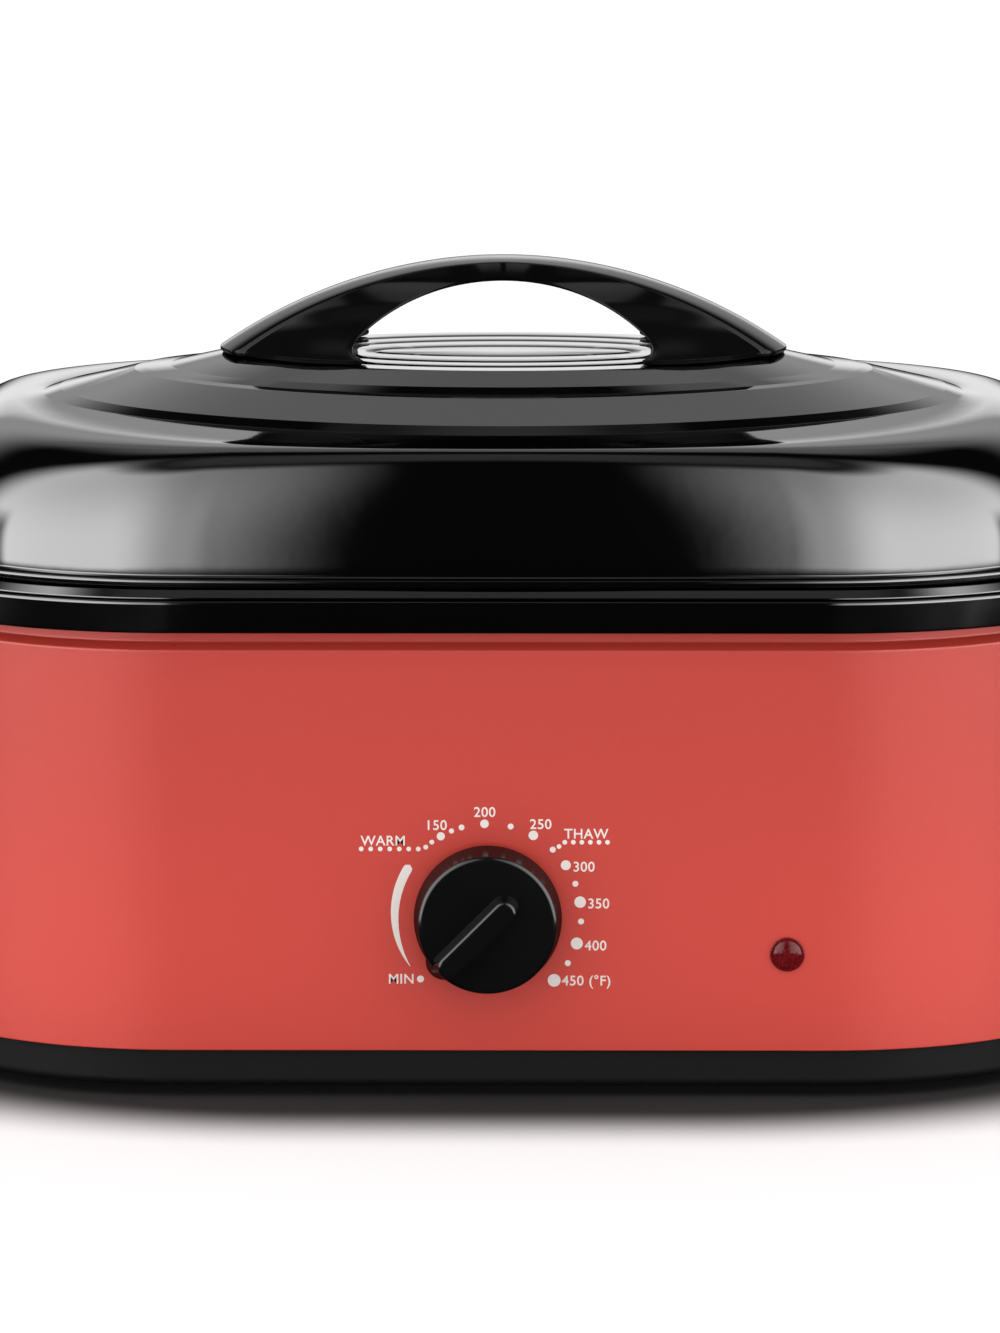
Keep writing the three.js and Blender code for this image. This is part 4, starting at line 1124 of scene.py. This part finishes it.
class ROASTER_OT_arch(RoasterOperator, bpy.types.Operator):
    """Build the arched handle on the lid"""

    bl_idname = "roaster.arch"
    bl_label = "Lid handle"

    def execute(self, context):
        """The sections from one foot over the crown to the other, with three more at each end that
        turn in under the foot's edge."""
        sizes = context.scene.roaster_handles
        span = np.concatenate([np.linspace(0, 1, 65), np.linspace(1, 0, 65)[1:]])
        sign = np.where(np.arange(len(span)) < 64, -1, 1)
        foot = sizes.foot_height
        lifts = [0, 0.15 * foot, 0.4 * foot]
        squeeze = [0.7 * MM, 0.25 * MM, 0]
        share = np.concatenate([[0] * 3, span, [0] * 3])
        sign = np.concatenate([[-1] * 3, sign, [1] * 3])
        height = np.concatenate([lifts, np.full(len(span), foot), lifts[::-1]])
        tuck = np.concatenate([squeeze, np.zeros(len(span)), squeeze[::-1]])
        grid = self.sections(sizes, share[:, None], sign[:, None], height[:, None], tuck[:, None])
        shell = moved(solid(grid), (0, MIDDLE[1], ARCH.low[2]))
        piece("lid_arch", [shell], "black_plastic", "lid", "lid_handle", sharp=50)
        return {"FINISHED"}

    def sections(self, sizes, share, sign, lift, tuck):
        """Sections across the arch, with their two halves mirrored from front to back. Share runs
        from 0 at a foot to 1 at the crown. The back follows
        a circle over the span and the finger gap another, and a section's place runs from 0 on the
        ridge to 1 at the gap, whose face is hollow at the feet. Its half width grows as a sine's
        power up to the crease, and then as 1 - (1 - face) ^ 1.6 to the inner edge, which is
        rounded off."""
        half_span = ARCH.half[0]
        rise = ARCH.high[2] - ARCH.low[2] - sizes.foot_height
        arc = (half_span**2 + rise**2) / (2 * rise)
        outer_x = half_span * (1 - share)
        outer_z = rise - arc + np.sqrt(arc**2 - outer_x**2)
        half_gap, head = sizes.opening / 2, rise - sizes.thickness
        gap_arc = (half_gap**2 + head**2) / (2 * head)
        inner_x = half_gap * (1 - share)
        inner_z = head - gap_arc + np.sqrt(gap_arc**2 - inner_x**2)
        climb = inner_z / head
        flare = 1 - (1 - climb) ** 1.7
        inner_half = (sizes.foot_depth + (sizes.crown_depth - sizes.foot_depth) * flare) / 2
        back_half = (sizes.foot_back + (sizes.crown_back - sizes.foot_back) * share) / 2
        crease = 0.2 - 0.1 * share**2
        back = np.array([0, 0.03, 0.1, 0.22, 0.4, 0.6, 0.8, 0.93, 1.0])
        face = np.array([0.03, 0.08, 0.17, 0.3, 0.45, 0.6, 0.75, 0.88, 0.96])
        reach = np.hypot(outer_x - inner_x, outer_z - inner_z)
        edge = sizes.edge_round
        turn = QUARTER * np.linspace(0, 1, 6)
        place_back = crease * back
        width_back = back_half * np.sin(QUARTER * back) ** 0.6
        last = 1 - edge / reach
        place_face = crease + (last - crease) * face
        run = (place_face - crease) / (1 - crease)
        width_face, end_half = (
            back_half + (inner_half - back_half) * (1 - (1 - part) ** 1.6)
            for part in (run, (last - crease) / (1 - crease))
        )
        place_edge = last + (1 - last) * np.sin(turn)
        width_edge = end_half - edge * (1 - np.cos(turn))
        width_gap = width_edge[:, -1:] * np.linspace(0.85, 0, 6)
        place = np.concatenate([place_back, place_face, place_edge, np.ones_like(width_gap)], 1)
        width = np.concatenate([width_back, width_face, width_edge], 1) - tuck
        width = np.concatenate([np.maximum(width, 0), width_gap], 1)
        toe = sizes.toe * (2 * width / sizes.foot_depth) ** 2 * place**3 * (1 - climb) ** 10
        x = sign * (outer_x + (inner_x - outer_x) * place - tuck * (1 - 2 * place) - toe)
        z = outer_z + (inner_z - outer_z) * place + lift
        front = np.stack([x, -width, z], -1)
        behind = np.stack([x, width, z], -1)[:, -2:0:-1]
        return np.concatenate([front, behind], 1)


class ROASTER_OT_ears(RoasterOperator, bpy.types.Operator):
    """Build the two side handles"""

    bl_idname = "roaster.ears"
    bl_label = "Side handles"

    def execute(self, context):
        """Each is a hoop: down the outside of a rounded outline, across the top to the finger gap,
        and back below, with every edge rounded."""
        sizes = context.scene.roaster_handles
        reach, half_y, half_z = 2 * EAR.half[0], EAR.half[1], EAR.half[2]
        corner, tight = sizes.ear_corner, 1.5 * MM
        outer = (reach / 2, half_y, [corner, tight, tight, corner], reach / 2)
        gap_half = (reach - sizes.ear_pad - sizes.ear_bar) / 2
        gap_middle = sizes.ear_pad + gap_half
        inner = (gap_half, sizes.ear_gap / 2, gap_half, gap_middle)
        stations = [
            station(half_x, half, corners, level, 1, (middle, 0))
            for (half_x, half, corners, middle), level in (
                (outer, -half_z),
                (outer, half_z),
                (inner, half_z),
                (inner, -half_z),
            )
        ]
        outline = Outline(arc=14, long_side=8, short_side=16)
        grid = outline.loft(rounded(stations, sizes.ear_round, closed=True, steps=7))
        for side, sign in SIDES.items():
            origin = (sign * EAR.low[0], *EAR.middle[1:])
            shell = facing(hoop(grid), origin, (sign, 0, 0), (0, sign, 0))
            node = f"side_handle_{side}"
            piece(f"ear_{side}", [shell], "black_plastic", "housing", node, sharp=50)
        return {"FINISHED"}


class ROASTER_OT_dial(RoasterOperator, bpy.types.Operator):
    """Build the knob and its blade"""

    bl_idname = "roaster.dial"
    bl_label = "Dial"

    def execute(self, context):
        sizes = context.scene.roaster_dial
        depth, back, face = sizes.depth, sizes.back_radius, sizes.face_radius
        profile = [
            (3.9 * MM, 0.2 * MM),
            (6.5 * MM, 0.2 * MM),
            (6.5 * MM, 8.5 * MM),
            (15.9 * MM, 8.5 * MM),
            (back - 2 * MM, 0),
            (back, 0),
            (face, depth),
            (0.7 * face, depth),
            (0.3 * face, depth),
        ]
        radii = [0, 0.3 * MM, 0.5 * MM, 0.5 * MM, 0.3 * MM, 0.6 * MM, sizes.edge_round, 0, 0]
        origin = (sizes.axis_x, FRONT - sizes.stand_off, sizes.height)
        disc = solid(turned(soften(profile, radii), 128))
        points, faces = self.blade(sizes)
        cos, sin = math.cos(sizes.blade_angle), math.sin(sizes.blade_angle)
        points = points @ np.array([[cos, sin, 0], [-sin, cos, 0], UP])
        for name, shell in (("knob_disc", disc), ("knob_blade", (points, faces))):
            piece(name, [facing(shell, origin, RIGHT, UP)], "knob_plastic", "dial", "knob")
        return {"FINISHED"}

    def blade(self, sizes):
        """A round-ended bar along X, narrower at its top, where its edge is rounded."""
        top = KNOB.half[1] * 2
        soft = 0.7 * MM

        def bar(width, tip, tail, level):
            half = width / 2
            return station((tip + tail) / 2, half, half, level, 1, ((tip - tail) / 2, 0))

        foot = bar(sizes.blade_foot, 22.4 * MM, 12 * MM, 0.4 * MM)
        head = bar(sizes.blade_width, 17.8 * MM, 9.8 * MM, top)
        crown = bar(0.3 * sizes.blade_width, 15.2 * MM, 7.2 * MM, top)
        rows = np.array([bar(0.4 * sizes.blade_foot, 18 * MM, 8 * MM, 0.4 * MM), foot, head, crown])
        ring = Outline(arc=12, long_side=10, short_side=1)
        stations = rounded(rows[:, [1, 0, *range(2, 11)]], [0, 0.3 * MM, soft, 0])
        return solid(ring.loft(stations[:, [1, 0, *range(2, 11)]]))


class ROASTER_OT_lamp(RoasterOperator, bpy.types.Operator):
    """Build the indicator lens and the cord gland"""

    bl_idname = "roaster.lamp"
    bl_label = "Lamp and cord gland"

    def execute(self, context):
        sizes = context.scene.roaster_dial
        flange, stem, rim = LENS.half[0], 4 * MM, 0.8 * MM
        proud, behind = FRONT - LENS.low[1], FRONT - LENS.high[1]
        dome = [
            (stem * math.cos(turn), rim + (proud - rim) * math.sin(turn))
            for turn in np.linspace(0, 0.94 * QUARTER, 9)
        ]
        profile = [
            (0.3 * stem, behind),
            (stem, behind),
            (stem, 0.3 * MM),
            (flange, 0.3 * MM),
            (flange, rim),
            *dome,
        ]
        radii = [0, 0.2 * MM, 0, 0.2 * MM, 0.25 * MM] + [0] * len(dome)
        lens = solid(turned(soften(profile, radii)))
        lens = facing(lens, (sizes.lamp_x, FRONT, sizes.lamp_height), RIGHT, UP)
        piece("lamp_glass", [lens], "red_lens", "housing", "lamp_lens")
        self.gland()
        return {"FINISHED"}

    def gland(self):
        """A flanged bush through the back wall, as a hoop turned about its bore."""
        bore, body, flange = 3.6 * MM, 6 * MM, GLAND.half[0]
        inside, outside = GLAND.low[1] - BACK, GLAND.high[1] - BACK
        profile = [
            (bore, inside),
            (body, inside),
            (body, 0.3 * MM),
            (flange, 0.3 * MM),
            (flange - 1 * MM, outside),
            (bore + 1.2 * MM, outside),
        ]
        radii = [0.3 * MM, 0.3 * MM, 0, 0.2 * MM, 0.9 * MM, 0.9 * MM]
        bush = hoop(turned(soften(profile, radii, closed=True, steps=6), 48))
        bush = facing(bush, (GLAND.middle[0], BACK, GLAND.middle[2]), LEFT, UP)
        piece("gland_bush", [bush], "black_plastic", "housing", "cord_gland")


class ROASTER_OT_marks(RoasterOperator, bpy.types.Operator):
    """Print the scale, its figures and its words round the dial"""

    bl_idname = "roaster.marks"
    bl_label = "Dial marks"

    # Main marks: angle in degrees and radius in millimetres
    MAIN = (
        (223.6, 0.98),
        (120.3, 1.15),
        (92.1, 1.2),
        (60.9, 1.34),
        (33.4, 1.4),
        (8.6, 1.62),
        (-17.5, 1.68),
        (-44.7, 1.8),
    )
    # Small marks between them
    SMALL = (
        (131.8, 0.68),
        (126.9, 0.68),
        (113, 0.72),
        (106.4, 0.82),
        (75.9, 0.84),
        (46, 0.84),
        (20.4, 0.84),
        (-3.5, 0.84),
        (-31, 0.84),
    )
    # Figures and words, with the middle of each in millimetres from the dial's axis
    WORDS = (
        ("200", -0.9, 29.3),
        ("150", -14.1, 25.6),
        ("250", 14.7, 25.9),
        ("300", 26.8, 13.9),
        ("350", 30.9, 3.5),
        ("400", 30.0, -8.4),
        ("450 (°F)", 27.4, -18.7),
        ("MIN", -24.2, -17.9),
        ("WARM", -29.3, 21.2),
        ("THAW", 27.4, 23.2),
    )
    # Rows of leader dots: first and last place, and how many
    LEADERS = (
        ((-35.3, 18.85), (-19.4, 18.85), 7),
        ((19.8, 19.6), (19.8, 19.6), 1),
        ((21.4, 20.8), (33.3, 20.8), 6),
    )

    def execute(self, context):
        sizes = context.scene.roaster_dial
        shells = []
        for turn, radius in self.MAIN + self.SMALL:
            turn = math.radians(turn)
            place = sizes.mark_radius * np.array([math.cos(turn), math.sin(turn)])
            shells.append(self.dot(place, radius * MM, sizes.ink))
        for start, end, count in self.LEADERS:
            for place in np.linspace(start, end, count) * MM:
                shells.append(self.dot(place, 0.66 * MM, sizes.ink))
        for text, x, z in self.WORDS:
            shells.append(self.word(text, (x * MM, z * MM), sizes))
        shells.append(self.crescent(sizes))
        origin = (sizes.axis_x, FRONT, sizes.height)
        shells = [facing(shell, origin, RIGHT, UP) for shell in shells]
        piece("dial_print", shells, "print_ink", "housing")
        return {"FINISHED"}

    def dot(self, place, radius, ink):
        grid = turned([(0.6 * radius, -ink), (radius, -ink), (radius, ink), (0.6 * radius, ink)], 24)
        return moved(solid(grid), (*place, 0))

    def word(self, text, place, sizes):
        """Text as a thin mesh, with its middle on the place."""
        curve = bpy.data.curves.new("word", "FONT")
        curve.body = text
        curve.align_x, curve.align_y = "CENTER", "CENTER"
        curve.size = sizes.figure_height / 0.7
        curve.offset = 0.015 * sizes.figure_height
        curve.space_character = 1.06
        curve.extrude = sizes.ink
        holder = bpy.data.objects.new("word", curve)
        bpy.context.scene.collection.objects.link(holder)
        bpy.context.view_layer.update()
        evaluated = holder.evaluated_get(bpy.context.evaluated_depsgraph_get())
        mesh = bpy.data.meshes.new_from_object(evaluated)
        points = np.empty(3 * len(mesh.vertices))
        mesh.vertices.foreach_get("co", points)
        points = points.reshape(-1, 3)
        middle = (points.min(0) + points.max(0)) / 2
        faces = [list(face.vertices) for face in mesh.polygons]
        bpy.data.objects.remove(holder)
        bpy.data.meshes.remove(mesh)
        return points - (*middle[:2], 0) + (*place, 0), faces

    def crescent(self, sizes):
        """An arc on the circle of the marks, round at its upper end and run out to a point: its
        half width is 1.22 mm times 1 - share ^ 2.4, and a little for the point."""
        share = np.linspace(0, 1, 49)
        turn = np.radians(146.5 + 67 * share)
        half = 1.22 * MM * (1 - share**2.4) + 0.05 * MM
        cap = np.clip(1 - sizes.mark_radius * (turn - turn[0]) / half[0], 0, 1)
        half = half * np.sqrt(1 - cap**2) + 0.01 * MM
        outward = np.stack([np.cos(turn), np.sin(turn)], -1)
        corners = []
        for sign, level in ((1, -1), (1, 1), (-1, 1), (-1, -1)):
            edge = outward * (sizes.mark_radius + sign * half)[:, None]
            corners.append(np.column_stack([edge, np.full(len(edge), level * sizes.ink)]))
        return solid(np.stack(corners, 1)[:, ::-1])


class ROASTER_OT_studio(RoasterOperator, bpy.types.Operator):
    """Lay the floor, set the light and place the camera"""

    bl_idname = "roaster.studio"
    bl_label = "Studio"

    def execute(self, context):
        sizes = context.scene.roaster_studio
        self.floor(context, sizes)
        self.light(context, sizes)
        self.camera(context, sizes)
        context.scene.view_settings.view_transform = "Standard"
        return {"FINISHED"}

    def floor(self, context, sizes):
        radius = np.geomspace(0.02, sizes.floor_radius, 40)
        grid = turned([(r, 0) for r in radius[::-1]], 96)  # outermost first, so it faces up
        points, faces = skin(grid, poles=(False, True))
        mesh = bpy.data.meshes.new("floor")
        mesh.from_pydata(points, [], faces)
        paper = studio_floor(context.scene.roaster_finish.floor, sizes.painted_shadow_near, sizes.painted_shadow_far)
        mesh.materials.append(paper)
        ground = bpy.data.objects.new("floor", mesh)
        ground.visible_glossy = False
        context.scene.collection.objects.link(ground)

    def light(self, context, sizes):
        """An even dome for what is matt. For gloss, with x, y and z the way that it looks: two tall
        soft boxes at the sides that end behind the object, a backdrop that fades upwards, a light
        over the backdrop, one in the ceiling, and a dark room in front."""
        world = bpy.data.worlds.new("studio")
        context.scene.world = world
        world.cycles.sampling_method = "NONE"
        s = Shader(world)
        x, y, z = s.axes(s.node("ShaderNodeTexCoord", out="Generated"))
        aside = abs(x)
        flank = s.smooth(y, -0.1, 0) * (1 - s.smooth(z, 0.1, 0.35))  # low, right at the sides
        boxes = (
            (0.45 * s.smooth(aside, 0.06, 0.15) + 0.55 * s.smooth(aside, 0.1, 0.6))
            * (1 - s.smooth(y, 0.05, 0.4))
            * (1 - 0.35 * s.smooth(z, 0, 0.9))
            * (1 - s.smooth(z, 0.86, 0.96))
            * (1 - 0.8 * flank)
            * s.smooth(z, -0.13, -0.105)
            * sizes.side_light
        )
        fade = 0.7 * (1 - s.smooth(z, 0.1, 0.2)) + 0.3 * (1 - s.smooth(z, 0.25, 0.62))
        backdrop = s.smooth(y, 0.5, 0.75) * fade * s.smooth(z, -0.05, 0.08) * sizes.back_light
        ceiling = 0.25 * s.smooth(z, 0.93, 0.99)
        over_backdrop = (
            0.65
            * s.smooth(z, 0.46, 0.56)
            * (1 - s.smooth(z, 0.72, 0.85))
            * s.smooth(y, 0.4, 0.6)
            * (1 - s.smooth(aside, 0.1, 0.3))
        )
        room, paper = 0.01, 0.985
        gloss = boxes + backdrop + ceiling + over_backdrop + room
        camera, glossy = (
            s.node("ShaderNodeLightPath", out=f"Is {kind} Ray") for kind in ("Camera", "Glossy")
        )
        level = camera * paper + (1 - camera) * (glossy * gloss + (1 - glossy) * sizes.soft_light)
        background = s.node("ShaderNodeBackground", None, {"Color": (1, 1, 1), "Strength": level})
        s.node("ShaderNodeOutputWorld", None, {"Surface": background})

    def camera(self, context, sizes):
        data = bpy.data.cameras.new("camera")
        data.lens = sizes.lens
        data.sensor_width = 36
        data.clip_start, data.clip_end = 0.05, 100
        camera = bpy.data.objects.new("camera", data)
        context.scene.collection.objects.link(camera)
        turn, tilt = sizes.azimuth, sizes.elevation
        level = math.cos(tilt)
        back = Vector((math.sin(turn) * level, -math.cos(turn) * level, math.sin(tilt)))
        aim = Vector((sizes.aim_x, MIDDLE[1], sizes.aim_height))
        camera.location = aim + back * sizes.distance
        camera.rotation_mode = "QUATERNION"
        camera.rotation_quaternion = (-back).to_track_quat("-Z", "Y")
        context.scene.camera = camera


OPERATORS = (
    ROASTER_OT_finishes,
    ROASTER_OT_housing,
    ROASTER_OT_rim,
    ROASTER_OT_cookwell,
    ROASTER_OT_lid,
    ROASTER_OT_arch,
    ROASTER_OT_ears,
    ROASTER_OT_dial,
    ROASTER_OT_lamp,
    ROASTER_OT_marks,
    ROASTER_OT_studio,
)


class ROASTER_PT_panel(bpy.types.Panel):
    """Sizes, colours and builders of the roaster"""

    bl_idname = "ROASTER_PT_panel"
    bl_label = "Electric roaster oven"
    bl_space_type = "VIEW_3D"
    bl_region_type = "UI"
    bl_category = "Roaster"

    def draw(self, context):
        for operator in OPERATORS:
            self.layout.operator(operator.bl_idname)
        for name, group in GROUPS.items():
            box = self.layout.box()
            box.label(text=name.split("_")[1].title())
            for key in group.__annotations__:
                box.prop(getattr(context.scene, name), key)


CLASSES = (*GROUPS.values(), *OPERATORS, ROASTER_PT_panel)


def register():
    for each in CLASSES:
        bpy.utils.register_class(each)
    for name, group in GROUPS.items():
        setattr(bpy.types.Scene, name, PointerProperty(type=group))


def unregister():
    for name in GROUPS:
        delattr(bpy.types.Scene, name)
    for each in reversed(CLASSES):
        bpy.utils.unregister_class(each)


def main():
    register()
    for operator in OPERATORS:
        group, name = operator.bl_idname.split(".")
        getattr(getattr(bpy.ops, group), name)()


if __name__ == "__main__":
    main()
